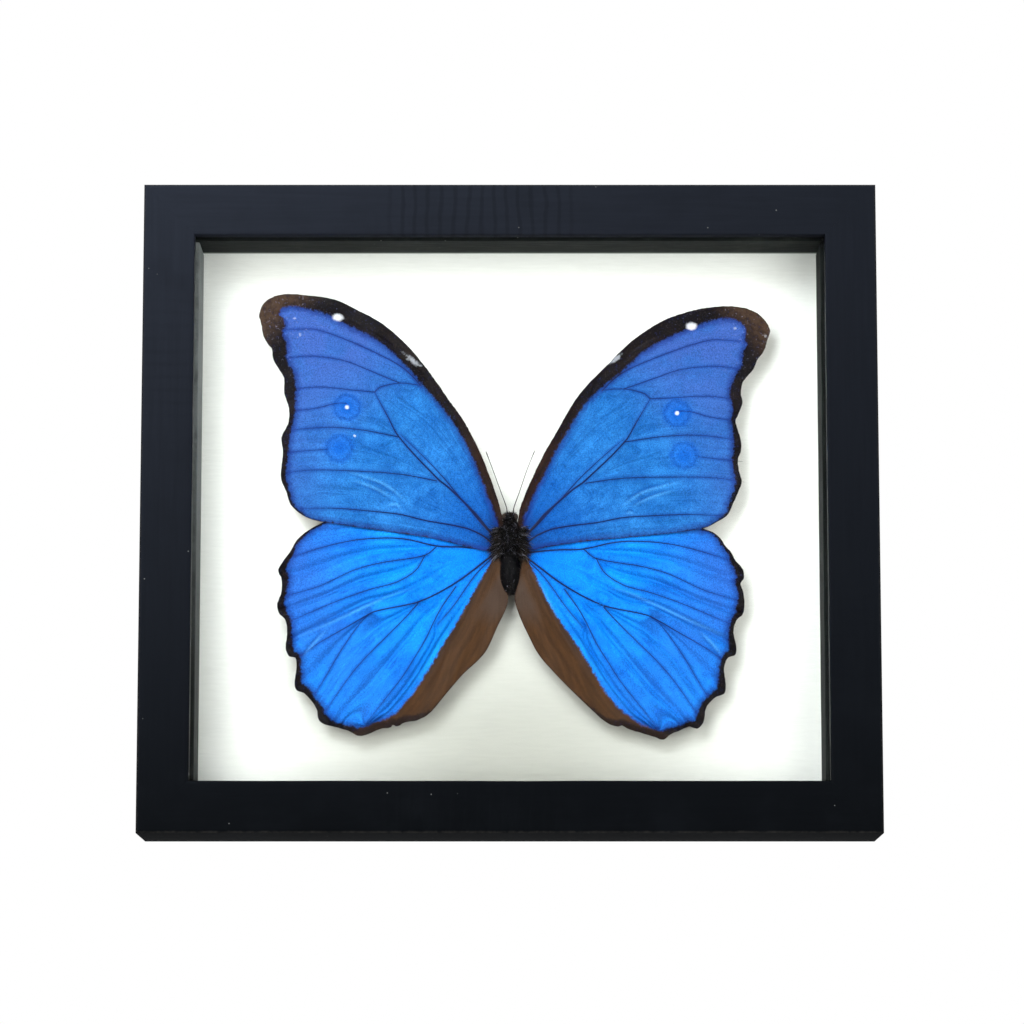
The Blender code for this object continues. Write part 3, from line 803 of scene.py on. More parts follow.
def grown_wing(name, wing, materials):
    """The skin's two faces and its rim, with the veins raised on the front."""
    rim = wing.rim[:, :2]
    low, high = rim.min(0), rim.max(0)
    rng = np.random.default_rng(5)
    rows = np.arange(low[1], high[1], MESH_STEP * 0.866)
    grid = np.array([(x + (k % 2) * MESH_STEP / 2, z) for k, z in enumerate(rows)
                     for x in np.arange(low[0], high[0], MESH_STEP)])
    grid += rng.uniform(-0.06, 0.06, grid.shape)
    grid = grid[inside(grid, rim)]
    grid = grid[nearest_on(grid, wing.rim, closed=True)[0] > 0.2]
    flat = [Vector(p) for p in np.vstack([rim, grid])]
    made = delaunay_2d_cdt(flat, [], [list(range(len(rim)))], 1, 1e-5)
    points = np.array([tuple(p) for p in made[0]])
    triangles = np.array([face for face in made[2] if len(face) == 3])
    a, b, c = (points[triangles[:, k]] for k in range(3))
    turn = (b - a)[:, 0] * (c - a)[:, 1] - (b - a)[:, 1] * (c - a)[:, 0]
    triangles[turn < 0] = triangles[turn < 0][:, ::-1]
    seen = wing.fields(points)
    count = len(points)
    depth = wing.plane - seen["height"] - WING_SKIN / 2
    front = np.column_stack([points[:, 0], depth, points[:, 1]])
    back = front + (0.0, WING_SKIN, 0.0)
    directed = np.vstack([triangles[:, [0, 1]], triangles[:, [1, 2]], triangles[:, [2, 0]]])
    _, index, uses = np.unique(np.sort(directed, axis=1), axis=0, return_index=True,
                               return_counts=True)
    open_sides = directed[index[uses == 1]]
    faces = triangles.tolist() + (triangles[:, ::-1] + count).tolist()
    faces += [(j, i, i + count, j + count) for i, j in open_sides.tolist()]
    kinds = [0] * len(triangles) + [1] * len(triangles) + [2] * len(open_sides)
    vertices = [front, back]
    held = [kept(seen)] * 2
    used = 2 * count
    for number, thick, thin, line in wing.lines.values():
        if not thick:
            continue
        on = wing.fields(line)
        radius = np.linspace(thick, thin, len(line)) / 2
        radius *= 1 - 0.6 * step_up(np.arange(len(line)) / len(line), 0.8, 1.0)
        heading = np.gradient(line[:, :2], axis=0)
        heading /= np.linalg.norm(heading, axis=1)[:, None]
        depth = wing.plane - on["height"] - WING_SKIN / 2 - radius * 0.1
        middle = np.column_stack([line[:, 0], depth, line[:, 1]])
        for spoke in range(VEIN_SIDES):
            angle = spoke * 2 * math.pi / VEIN_SIDES
            ring = middle.copy()
            ring[:, 0] -= heading[:, 1] * radius * math.cos(angle)
            ring[:, 2] += heading[:, 0] * radius * math.cos(angle)
            ring[:, 1] -= radius * 0.7 * math.sin(angle)
            vertices.append(ring)
            held.append(kept(on))
        length = len(line)
        for k in range(length - 1):
            for spoke in range(VEIN_SIDES):
                one = used + spoke * length + k
                two = used + (spoke + 1) % VEIN_SIDES * length + k
                faces.append((one, one + 1, two + 1, two))
        starts = [used + spoke * length for spoke in range(VEIN_SIDES)]
        faces.append(tuple(starts))
        faces.append(tuple(start + length - 1 for start in reversed(starts)))
        kinds += [3] * (VEIN_SIDES * (length - 1) + 2)
        used += VEIN_SIDES * length
    vertices = np.vstack(vertices) + (0.0, 0.0, THORAX_Z / MM)
    obj = make_mesh(name, vertices, faces, kinds, materials)
    held = np.vstack(held)
    store(obj, "wing_edges", (held[:, 0], held[:, 1], held[:, 2]))
    store(obj, "wing_lines", (held[:, 3], held[:, 4], held[:, 5]))
    store(obj, "wing_creases", (held[:, 6], held[:, 7], held[:, 6]))
    return obj


def read_kept(tree, name):
    """The three values that were kept on every vertex under a name."""
    held = add_node(tree, "ShaderNodeAttribute", attribute_name=name).outputs["Vector"]
    return axes_of(tree, held)


def read_wing(tree):
    """The values kept on the wing, in millimetres, and the place on it."""
    edges, lines = read_kept(tree, "wing_edges"), read_kept(tree, "wing_lines")
    creases = read_kept(tree, "wing_creases")
    return {"border": edges[0], "margin": edges[1], "fold": edges[2],
            "across": lines[0], "along": lines[1], "vein": lines[2],
            "crease": creases[0], "gleam": creases[1], "place": place_of(tree)}


def streak_group():
    """Noise drawn out along the veins."""
    group, given, wanted = new_group(
        "streaks along the veins", [],
        ["Across", "Across Scale", "Along", "Along Scale", "Shift", "Detail"], ["Streaks"])
    where = add_node(group, "ShaderNodeCombineXYZ", {
        "X": times(group, given["Across"], given["Across Scale"]),
        "Y": times(group, given["Along"], given["Along Scale"]), "Z": given["Shift"]})
    put(group, wanted["Streaks"], cloud(group, where.outputs[0], 1.0, given["Detail"], 0.62))
    return group


STREAKS = streak_group()


def streaks(tree, wing, across, along, shift, detail=4.0):
    node = add_node(tree, "ShaderNodeGroup", {
        "Across": wing["across"], "Across Scale": across, "Along": wing["along"],
        "Along Scale": along, "Shift": shift, "Detail": detail}, node_tree=STREAKS)
    return node.outputs["Streaks"]


def offset_from(tree, wing, x, z):
    """How far the place on the wing is from a point in millimetres from the thorax's middle."""
    return add_node(tree, "ShaderNodeVectorMath",
                    {0: wing["place"], 1: (x * MM, 0.0, THORAX_Z + z * MM)},
                    operation="SUBTRACT").outputs[0]


def spot(tree, wing, x, z, radius, soft, squash=1.0, wobble=None):
    """The distance from a point on the wing, and a soft edged round mark there."""
    flat = add_node(tree, "ShaderNodeVectorMath",
                    {0: offset_from(tree, wing, x, z), 1: (1000.0, 0.0, 1000.0 * squash)},
                    operation="MULTIPLY").outputs[0]
    reach = add_node(tree, "ShaderNodeVectorMath", {0: flat}, operation="LENGTH").outputs["Value"]
    if wobble is not None:
        reach = plus(tree, reach, wobble)
    return reach, span(tree, reach, radius + soft, radius - soft)


def streak(tree, wing, x, z, slope, half_length, half_width, wobble):
    """A soft edged streak at a point on the wing, along a slope, for a painted glare."""
    offset = offset_from(tree, wing, x, z)
    size = math.hypot(1.0, slope) * MM
    reach = 0.0
    for way, half in (((1.0, 0.0, slope), half_length), ((-slope, 0.0, 1.0), half_width)):
        way = tuple(part / (size * half) for part in way)
        share = add_node(tree, "ShaderNodeVectorMath", {0: offset, 1: way},
                         operation="DOT_PRODUCT").outputs["Value"]
        reach = plus(tree, reach, times(tree, share, share))
    return span(tree, plus(tree, maths(tree, "SQRT", reach), wobble), 1.3, 0.3)


BLACK_SCALES = tone(10, 7, 10)
BROWN_SCALES = tone(46, 33, 26)
EYE_SPOT = 3.9


def wing_noises(tree, wing):
    """Adds the noises that break up the blue, its edges and its marks."""
    place = wing["place"]
    wing["fray"] = minus(tree, cloud(tree, place, 900.0, 4.0, 0.65), 0.5)
    wing["crumbs"] = minus(tree, cloud(tree, place, 2600.0, 2.0, 0.6), 0.5)
    wing["grit"] = cloud(tree, place, 3200.0, 3.0, 0.7)
    wing["patches"] = cloud(tree, place, 130.0, 3.0, 0.55)
    wing["fine"] = streaks(tree, wing, 9.0, 0.10, 0.0)
    wing["broad"] = streaks(tree, wing, 2.6, 0.05, 7.0, 2.0)
    wing["high"] = axes_of(tree, place)["Z"]


def blue_ground(tree, wing, look, ruffled):
    """Deep to azure blue, darker by the veins, painted shade in pleats and creases, violet at the
    tip.
    """
    along, fine, patches = wing["along"], wing["fine"], wing["patches"]
    deep, azure, root, violet_tone = look["shades"]
    light = plus(tree, times(tree, ruffled, 0.6), times(tree, patches, 0.4))
    colour = blend(tree, span(tree, light, *look["light"]), deep, azure)
    colour = blend(tree, span(tree, wing["broad"], 0.30, 0.62, 0.45, 0.0), colour,
                   tuple(part * 0.7 for part in deep))
    colour = blend(tree, span(tree, along, 34.0, 8.0, 0.0, 0.75), colour, root)
    # Painted shade: a darker blue on one side of each pleat between the veins.
    swing = maths(tree, "SINE", times(tree, wing["across"], 2 * math.pi))
    swing = plus(tree, swing, times(tree, minus(tree, fine, 0.5), 3.0))
    painted_pleat_shade = times(tree, span(tree, swing, 0.2, 1.1), span(tree, along, 18.0, 44.0))
    colour = over(tree, colour, painted_pleat_shade, tuple(part * 0.45 for part in deep), look["folds"])
    low, high, least = look["violet up"]
    upward = span(tree, wing["high"], THORAX_Z + low * MM, THORAX_Z + high * MM, least, 1.0)
    violet = times(tree, span(tree, along, *look["violet along"]), upward)
    violet = times(tree, violet, span(tree, patches, 0.25, 0.6, 0.55, 0.95))
    colour = blend(tree, violet, colour, violet_tone)
    stain = times(tree, span(tree, wing["vein"], 1.0, 0.0, 0.0, 0.6),
                  span(tree, fine, 0.3, 0.6, 0.4, 1.0))
    colour = blend(tree, stain, colour, tone(12, 46, 128))
    # Painted shade in each crease, and a painted highlight on one side of it.
    colour = over(tree, colour, wing["crease"], tone(10, 62, 140), 0.6)
    return over(tree, colour, wing["gleam"], tone(88, 168, 228), 0.36)


def eye_spot(tree, wing, colour, x, z, dotted):
    """A darker blue ring and heart, where the underside's eye shows through, some with a dot."""
    reach, dark = spot(tree, wing, x, z, EYE_SPOT, 1.6, 1.0, times(tree, wing["fray"], 2.2))
    colour = over(tree, colour, dark, tone(4, 90, 192), 0.5)
    ring = times(tree, span(tree, reach, 4.3, 3.7), span(tree, reach, 2.7, 3.3))
    colour = over(tree, colour, ring, tone(12, 62, 140), 0.5)
    colour = over(tree, colour, span(tree, reach, 2.4, 1.0), tone(4, 76, 166), 0.6)
    if dotted:
        _, white = spot(tree, wing, x, z, 0.5, 0.3)
        colour = over(tree, colour, white, tone(214, 228, 240), 0.85)
    return colour


def border_scales(tree, wing, tipped):
    """Black and brown scales mixed, a brown strap along the front, and a brown wing tip."""
    fray, crumbs = wing["fray"], wing["crumbs"]
    dark = blend(tree, span(tree, wing["patches"], 0.45, 0.75, 0.0, 0.22),
                 BLACK_SCALES, BROWN_SCALES)
    dark = blend(tree, span(tree, plus(tree, crumbs, fray), 0.06, 0.26, 0.0, 0.45), dark,
                 tone(50, 38, 34))
    dark = blend(tree, span(tree, minus(tree, crumbs, fray), 0.10, 0.28, 0.0, 0.45), dark,
                 tone(34, 38, 84))
    strap = times(tree, span(tree, wing["along"], 46.0, 22.0),
                  span(tree, wing["broad"], 0.35, 0.55))
    dark = over(tree, dark, strap, tone(40, 22, 14), 0.8)
    if tipped:
        tip = times(tree, span(tree, wing["along"], 84.0, 93.0),
                    span(tree, fray, -0.22, 0.12, 0.25, 0.85))
        dark = blend(tree, tip, dark, tone(70, 51, 39))
    return dark


def brown_fold(tree, wing, colour, black, dark):
    """The bare fold by the abdomen: pleated brown, mauve at the root, black at the hem."""
    jag = plus(tree, wing["fold"], times(tree, wing["fray"], 1.6))
    jag = plus(tree, jag, times(tree, wing["crumbs"], 1.2))
    brown = span(tree, jag, 0.5, -0.3)
    cloth = blend(tree, span(tree, streaks(tree, wing, 6.0, 0.12, 3.0), 0.3, 0.7),
                  tone(58, 37, 21), tone(73, 47, 27))
    pleat = span(tree, maths(tree, "SINE", times(tree, jag, 2.1)), 0.1, 1.0, 0.0, 0.35)
    cloth = blend(tree, pleat, cloth, tone(40, 25, 14))
    root_end = plus(tree, wing["along"], times(tree, wing["fray"], 4.0))
    mauve = times(tree, span(tree, root_end, 27.0, 19.0), span(tree, jag, -2.2, -4.6, 0.05, 0.9))
    cloth = blend(tree, mauve, cloth, tone(67, 52, 44))
    slate = times(tree, span(tree, jag, -2.6, -0.3), span(tree, wing["broad"], 0.35, 0.6))
    cloth = over(tree, cloth, slate, tone(46, 36, 35), 0.6)
    cloth = blend(tree, span(tree, wing["margin"], 0.9, 0.1, 0.0, 0.5), cloth, tone(54, 34, 22))
    colour = blend(tree, brown, colour, cloth)
    foot = times(tree, black, span(tree, wing["margin"], 2.6, 1.2))
    return over(tree, colour, foot, dark, 0.8), brown


def flecks_wear_and_glare(tree, wing, colour, flecks, painted_glare):
    """White flecks, a painted glare streak by the front edge, and bare specks toward the tip."""
    fray = wing["fray"]
    for x, z, size, squash, shade in flecks:
        _, white = spot(tree, wing, x, z, size, 0.45 * size, squash, times(tree, fray, 1.4))
        colour = over(tree, colour, white, tone(206, 206, 214), shade)
    # Painted glare: a pale streak along the front edge.
    pale = streak(tree, wing, *painted_glare, times(tree, fray, 2.6))
    colour = over(tree, colour, pale, tone(196, 198, 210), 0.5)
    bare = times(tree, span(tree, cloud(tree, wing["place"], 1300.0, 3.0, 0.75), 0.60, 0.74),
                 span(tree, wing["along"], 68.0, 88.0, 0.0, 0.42))
    return blend(tree, bare, colour, tone(150, 150, 182))


def blue_scales(name, look, eyes=(), flecks=(), painted_glare=None):
    """Blue scales in rows with a black border. A forewing has marks, a hindwing a brown fold."""
    material, tree, shader = new_material(name)
    wing = read_wing(tree)
    wing_noises(tree, wing)
    speckled = cloud(tree, wing["place"], 420.0, 4.0, 0.6)
    ruffled = add_node(tree, "ShaderNodeMix", data_type="FLOAT")
    put(tree, ruffled.inputs[0], span(tree, wing["along"], 16.0, 42.0, 0.10, look["streaked"]))
    put(tree, ruffled.inputs[2], speckled)
    put(tree, ruffled.inputs[3], wing["fine"])
    ruffled = ruffled.outputs[0]
    colour = blue_ground(tree, wing, look, ruffled)
    for x, z, dotted in eyes:
        colour = eye_spot(tree, wing, colour, x, z, dotted)
    colour = blend(tree, span(tree, wing["along"], 13.0, 3.0, 0.0, 0.75), colour, tone(4, 30, 92))
    salt = span(tree, wing["grit"], 0.30, 0.70, 0.62, 1.27)
    colour = blend(tree, 1.0, colour, grey(tree, salt), "MULTIPLY")
    border = plus(tree, wing["border"], times(tree, wing["fray"], 1.9))
    border = plus(tree, border, times(tree, wing["crumbs"], 1.1))
    colour = over(tree, colour, span(tree, border, 2.4, 0.0), tone(16, 34, 104), 0.75)
    black, brown = span(tree, border, 0.45, -0.25), 0.0
    dark = border_scales(tree, wing, tipped=painted_glare)
    colour = blend(tree, black, colour, dark)
    if painted_glare:
        colour = flecks_wear_and_glare(tree, wing, colour, flecks, painted_glare)
    else:
        colour, brown = brown_fold(tree, wing, colour, black, dark)
    plain = maths(tree, "MAXIMUM", black, brown)
    rows = add_node(tree, "ShaderNodeMath", {0: times(tree, wing["along"], 40.0)},
                    operation="SINE").outputs[0]
    skin = bump_of(tree, plus(tree, wing["grit"], times(tree, rows, 0.25)), 0.00005, 0.35)
    skin = bump_of(tree, plus(tree, ruffled, wing["broad"]), 0.00030, look["relief"], skin)
    finish_shader(tree, shader, {
        "Base Color": colour, "Roughness": span(tree, plain, 0.0, 1.0, 0.50, 0.42),
        "Normal": skin, "Metallic": span(tree, plain, 0.0, 1.0, 0.10, 0.0),
        "Specular IOR Level": 0.06})
    return material


def brown_underside():
    material, tree, shader = new_material("brown scales of the underside")
    wing = read_wing(tree)
    waves = streaks(tree, wing, 3.0, 0.35, 2.0)
    colour = blend(tree, span(tree, waves, 0.35, 0.65), tone(74, 52, 36), tone(128, 100, 74))
    band = maths(tree, "SINE", times(tree, wing["margin"], 1.1))
    colour = blend(tree, span(tree, band, 0.6, 1.0, 0.0, 0.6), colour, tone(168, 146, 116))
    colour = blend(tree, span(tree, wing["vein"], 0.6, 0.1, 0.0, 0.7), colour, tone(52, 36, 26))
    skin = bump_of(tree, waves, 0.00008, 0.5)
    finish_shader(tree, shader, {
        "Base Color": colour, "Roughness": 0.6, "Normal": skin, "Specular IOR Level": 0.25})
    return material


def dark_rim():
    """The edge of the skin, with the scales that stand out past it."""
    material, tree, shader = new_material("fringe of the wing")
    wing = read_wing(tree)
    specks = cloud(tree, wing["place"], 1500.0, 3.0, 0.6)
    black = span(tree, wing["border"], 0.1, -0.1)
    dark = blend(tree, specks, tone(20, 15, 15), tone(76, 62, 52))
    colour = blend(tree, black, tone(60, 62, 96), dark)
    finish_shader(tree, shader, {
        "Base Color": colour, "Roughness": 0.7,
        "Normal": bump_of(tree, specks, 0.00004, 0.5), "Specular IOR Level": 0.08})
    return material


def vein_horn():
    """Veins show as dark navy lines, browner near the root and lost in the black border."""
    material, tree, shader = new_material("dark veins")
    wing = read_wing(tree)
    mottle = cloud(tree, wing["place"], 1400.0, 3.0, 0.6)
    colour = blend(tree, mottle, tone(6, 16, 50), tone(12, 34, 92))
    colour = blend(tree, span(tree, wing["along"], 14.0, 4.0, 0.0, 0.8), colour, tone(20, 18, 30))
    colour = blend(tree, span(tree, wing["along"], 40.0, 66.0, 0.0, 0.4), colour, tone(26, 44, 120))
    colour = blend(tree, span(tree, wing["border"], 0.8, 0.0), colour, BLACK_SCALES)
    finish_shader(tree, shader, {
        "Base Color": colour, "Roughness": span(tree, mottle, 0.3, 0.7, 0.40, 0.55),
        "Normal": bump_of(tree, mottle, 0.00002, 0.4), "Specular IOR Level": 0.12})
    return material


underside, fringe, horn = brown_underside(), dark_rim(), vein_horn()
# Shades are deep, azure, at the root and at the violet tip. Reaches are in millimetres.
# Folds is how strong the painted shade in the pleats is.
FOREWING_LOOK = {
    "shades": (tone(6, 72, 144), tone(40, 119, 196), tone(0, 70, 152), tone(55, 84, 157)),
    "light": (0.26, 0.68), "streaked": 0.5, "folds": 0.15, "relief": 0.2,
    "violet along": (44.0, 70.0), "violet up": (20, 62, 0.65)}
# Eye spots with or without a dot, flecks (place, size, squash, strength), and a painted glare
# streak (place, slope, half its length and width).
FOREWING_MARKS = {
    "left": ([(-45.5, 36.7, True), (-47.6, 25.1, False)],
             [(-48.2, 62.3, 1.35, 1.4, 0.95), (-60.2, 62.0, 0.45, 1.6, 0.3),
              (-58.8, 57.2, 0.35, 0.7, 0.25), (-43.2, 28.5, 0.25, 1.0, 0.5),
              (-69.6, 57.9, 0.3, 0.6, 0.4), (-68.3, 54.6, 0.3, 0.6, 0.35)],
             (-27.3, 50.1, -0.83, 2.7, 0.75)),
    "right": ([(46.7, 35.0, True), (48.6, 23.1, False)],
              [(50.8, 59.8, 1.35, 1.4, 0.95), (63.1, 59.2, 0.45, 1.5, 0.3),
               (71.5, 57.0, 0.3, 0.6, 0.3)],
              (29.5, 50.3, 0.83, 2.1, 0.60))}
for side in ("left", "right"):
    wing = Wing(side, FOREWING_OUTLINE[side], FOREWING_VEINS, FOREWING_PAIRS, FOREWING_PLANE,
                FOREWING_PLEAT, FOREWING_VEINS["rear guide"][3], creases=FOREWING_CREASES)
    scales = blue_scales("blue scales of the %s forewing" % side, FOREWING_LOOK,
                         *FOREWING_MARKS[side])
    obj = grown_wing("wing_fore_" + side, wing, [scales, underside, fringe, horn])
    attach(obj, "root")
    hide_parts("forewing_" + side)


# Hindwings. The rear pair, rounder and toothed along the hem, tucked under the forewings'
# rear edge. The part by the abdomen is a brown fold without blue scales.
HINDWING_PLANE = sum(corner.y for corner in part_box("hindwing_left")) / 2 / MM
HINDWING_PLEAT = 0.30
HINDWING_OUTLINE = {
    "left": [
        (-45.9, 6.6, 0), (-51.4, 4.6, 0.3), (-55.9, 2.2, 0.5), (-59.2, -0.7, 0.6),
        (-61, -3.8, 0.9), (-63, -6.6, 1.4), (-64.4, -9.2, 2.3), (-63.4, -11.7, 1.8),
        (-63.5, -15.6, 1.3), (-64.6, -19, 1.9), (-63.9, -21.4, 2.2), (-62.2, -23.2, 1.2),
        (-61.8, -27.1, 1.2), (-62.1, -31, 2), (-61.2, -33.2, 2.3), (-59.4, -33.8, 1.3),
        (-59.1, -36.6, 1.1), (-59.6, -41, 2.1), (-58.9, -42.7, 2.4), (-56.9, -43.5, 1.8),
        (-55.3, -45.2, 1.3), (-53.4, -48, 1.5), (-52.9, -50.8, 2.4), (-51.3, -52.1, 2.3),
        (-48.8, -52.7, 1.2), (-44.1, -54.2, 1.5), (-41.9, -55.3, 2.1), (-39.2, -54.9, 2),
        (-35.9, -53.4, 2), (-33.1, -53, 2), (-32.3, -52.3, 2), (-31.2, -52.7, 2),
        (-28.7, -51.5, 2), (-25.6, -51, 1.5), (-22.1, -49, 0.6), (-16.8, -42.7, 0),
        (-12.9, -38.2, 0), (-8.8, -34.3, 0), (-6.3, -31.3, 0), (-3.5, -25.1, 0), (-0.5, -18.1, 0),
        (-1.1, -13.4, 0), (-2.2, -8.6, 0), (-3.6, -4.1, 0), (-8.3, -1, 0), (-21.7, 3.2, 0),
        (-34.8, 6.6, 0)],
    "right": [
        (50.2, 4.6, 0), (53.8, 2.6, 0.3), (56.6, 1.5, 0.4), (58.6, -0.3, 0.6), (60, -2.4, 0.7),
        (61.5, -4.1, 0.9), (62.8, -6.4, 1.4), (64.7, -8.9, 2.2), (65.1, -11.1, 2),
        (64.1, -13.1, 1.3), (64.8, -15.3, 1.2), (65.1, -18.7, 2), (64.7, -21.4, 2.2),
        (62.9, -23.2, 1.2), (62, -26.3, 1.2), (62.7, -30.2, 1.9), (62.5, -32.8, 2.3),
        (60.3, -33.8, 1.3), (59.3, -37.1, 1.1), (59.8, -41.3, 2.1), (59.4, -43.5, 2.4),
        (56.9, -44.6, 1.6), (54.4, -47.4, 1.4), (53.5, -51.6, 2.4), (51.9, -53.3, 2.3),
        (49.5, -52.8, 1.3), (47, -53.9, 1.2), (44.5, -54.9, 1.6), (42.3, -56.4, 2.1),
        (39.8, -55.6, 2), (36.3, -54.5, 1.8), (32.4, -53.3, 1.9), (31, -52.4, 1.9),
        (29.9, -52.8, 1.9), (27.1, -51.9, 1.6), (23.8, -49.2, 0.6), (16.7, -42.4, 0),
        (9.2, -34.3, 0), (6.2, -29.6, 0), (1.4, -18.1, 0), (2, -13.4, 0), (3.1, -8.6, 0),
        (4.5, -4.1, 0), (9.8, -1, 0), (22.3, 2.6, 0), (39, 5.7, 0)]}
HINDWING_FOLD = {
    "left": [
        (-6.1, -8.6), (-9.4, -14.2), (-12.2, -19.3), (-15.2, -24.6), (-18, -29), (-21, -34.3),
        (-23.7, -39.1), (-26.8, -43.5), (-29.3, -46.6), (-32.3, -49.6), (-36.4, -51.6),
        (-41.4, -53.5)],
    "right": [
        (6.2, -8.6), (8.7, -14.2), (11.2, -19.3), (15.3, -25.4), (19.5, -31.6), (22.8, -36.9),
        (26.6, -43.5), (29.4, -46.9), (32.7, -49.9), (38.7, -53.3), (42.6, -54.6)]}
HINDWING_VEINS = {
    "front guide": (0.0, 0, 0, [(-4.4, -2.4), (-21.7, 3.2), (-34.8, 6.6), (-51.4, 5.2)]),
    "first": (1.0, 0.46, 0.14, [
        (-3.6, -3.6), (-13, -2.7), (-20.2, -2.4), (-28.9, -0.5), (-36.1, -0.2), (-44.5, -1),
        (-52.8, -3), (-59.7, -5.2)]),
    "second": (2.0, 0.26, 0.12, [
        (-20.2, -2.4), (-23.6, -5), (-36.1, -7.2), (-43.3, -9.2), (-53, -13.7), (-62.4, -16.5)]),
    "third": (3.0, 0.24, 0.12, [
        (-23.6, -5), (-26.1, -9.2), (-31.3, -12.5), (-38.5, -14.5), (-48, -17.9), (-61.5, -23.7)]),
    "fourth": (4.0, 0.52, 0.14, [
        (-3.6, -4.1), (-5.5, -5.5), (-14.7, -12.5), (-24.9, -17.9), (-36, -20.4), (-38.5, -21.2),
        (-45.7, -25.4), (-52.9, -29.6), (-58.4, -33.5)]),
    "fifth": (4.5, 0.20, 0.12, [
        (-38.5, -21.2), (-41.3, -23.7), (-46.8, -31.6), (-50.3, -37.7), (-53.9, -43.8)]),
    "sixth": (5.0, 0.24, 0.12, [
        (-24.9, -17.9), (-29.1, -22.6), (-34.6, -28.2), (-40.1, -33.8), (-44.5, -39.1),
        (-51.1, -48.8)]),
    "seventh": (6.0, 0.26, 0.12, [
        (-14.9, -13.7), (-19.4, -20.4), (-23.5, -28.8), (-26.5, -33.8), (-29.6, -38.8),
        (-33.4, -43.8), (-39.7, -51.9)]),
    "eighth": (7.0, 0.26, 0.12, [(-4.4, -5.2), (-9.4, -10.3), (-15.5, -19), (-19.9, -24.3)]),
    "rear guide": (7.6, 0, 0, HINDWING_FOLD["left"])}
HINDWING_PAIRS = [
    ((-6.3, -3.3), (5.9, -3.3)), ((-51.4, 4.3), (53.8, 2.6)), ((-64.4, -9.2), (64.8, -10.6)),
    ((-62, -30.4), (62.7, -30.7)), ((-52.7, -51), (53.4, -51.9)), ((-41.4, -55.5), (42.3, -56.6)),
    ((-35.9, -50.8), (38.7, -53.5)), ((-20.2, -2.4), (20.1, -3.3)), ((-24.9, -17.9), (25, -19))]
HINDWING_LOOK = {
    "shades": (tone(0, 84, 186), tone(12, 138, 246), tone(0, 112, 216), tone(40, 90, 178)),
    "light": (0.27, 0.61), "streaked": 1.0, "folds": 0.55, "relief": 0.45,
    "violet along": (34.0, 64.0), "violet up": (-44, -8, 0.45)}
HINDWING_CREASES = [
    [(-27.2, -13.9), (-31.3, -14.8), (-40.2, -18.7), (-48.5, -22.6), (-60.1, -27.7)],
    [(-51.2, -25.4), (-54.8, -29.3), (-58.1, -33.2)],
    [(-4.9, -8.1), (-8.8, -14.8), (-13.3, -24.6), (-17.1, -31.6), (-19.3, -37.7)]]
for side in ("left", "right"):
    wing = Wing(side, HINDWING_OUTLINE[side], HINDWING_VEINS, HINDWING_PAIRS, HINDWING_PLANE,
                HINDWING_PLEAT, HINDWING_VEINS["front guide"][3], HINDWING_FOLD[side],
                HINDWING_CREASES)
    scales = blue_scales("blue scales of the %s hindwing" % side, HINDWING_LOOK)
    obj = grown_wing("wing_hind_" + side, wing, [scales, underside, fringe, horn])
    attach(obj, "root")
    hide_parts("hindwing_" + side)


# Body. Head, thorax and abdomen in one dried piece: smooth ringed black horn under a coat of
# black hair, thickest on the thorax, with grey and brown tufts over the roots of the wings.
BODY_Y = sum(corner.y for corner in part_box("butterfly_body")) / 2
BODY_PROFILE = [
    (0.0, 7.3), (1.0, 7.1), (1.6, 6.5), (1.8, 5.7), (1.6, 5.0), (2.3, 4.2), (3.2, 2.4),
    (3.5, 0.0), (3.2, -2.6), (2.6, -4.4), (2.45, -5.6), (2.8, -7.0), (2.95, -9.0), (2.75, -11.8),
    (2.0, -14.2), (1.0, -15.7), (0.0, -16.15)]
BODY_FLATTEN = 0.95
EYE_PLACES = [(-1.5, 6.0), (1.5, 6.0)]
EYE_RADIUS = 1.0
WAIST = -5.0
BODY_SPOKES, EYE_RINGS, EYE_SPOKES = 72, 20, 32


def body_horn():
    material, tree, shader = new_material("black horn of the body")
    place = place_of(tree)
    mottle = cloud(tree, place, 900.0, 4.0, 0.6)
    colour = blend(tree, mottle, tone(2, 2, 4), tone(7, 6, 9))
    finish_shader(tree, shader, {
        "Base Color": colour, "Roughness": span(tree, mottle, 0.3, 0.7, 0.40, 0.60),
        "Normal": bump_of(tree, mottle, 0.00010, 0.6), "Specular IOR Level": 0.07})
    return material


def hair_coat():
    """Each hair has its own shade, from black to grey brown, paler at the tip; some have a painted
    glint.
    """
    material, tree, shader = new_material("hair of the body")
    shade, share, glint = read_kept(tree, "hair")
    colour = blend(tree, shade, tone(2, 2, 3), tone(58, 46, 42))
    # Painted glint: light grey laid on the hairs chosen to glint.
    colour = blend(tree, glint, colour, tone(128, 128, 144))
    colour = blend(tree, times(tree, share, times(tree, shade, 0.5)), colour, tone(120, 104, 92))
    mottle = cloud(tree, place_of(tree), 1200.0)
    finish_shader(tree, shader, {
        "Base Color": colour, "Roughness": span(tree, mottle, 0.3, 0.7, 0.40, 0.60),
        "Specular IOR Level": 0.10})
    return material


def eye_horn():
    """Dark horn in small facets."""
    material, tree, shader = new_material("dark brown eyes")
    cells = add_node(tree, "ShaderNodeTexVoronoi",
                     {"Vector": place_of(tree), "Scale": 9000.0}).outputs["Distance"]
    colour = blend(tree, cells, tone(30, 20, 16), tone(62, 46, 38))
    finish_shader(tree, shader, {
        "Base Color": colour, "Roughness": span(tree, cells, 0.0, 0.6, 0.22, 0.34),
        "Normal": bump_of(tree, cells, 0.00002, 0.6), "Specular IOR Level": 0.5})
    return material


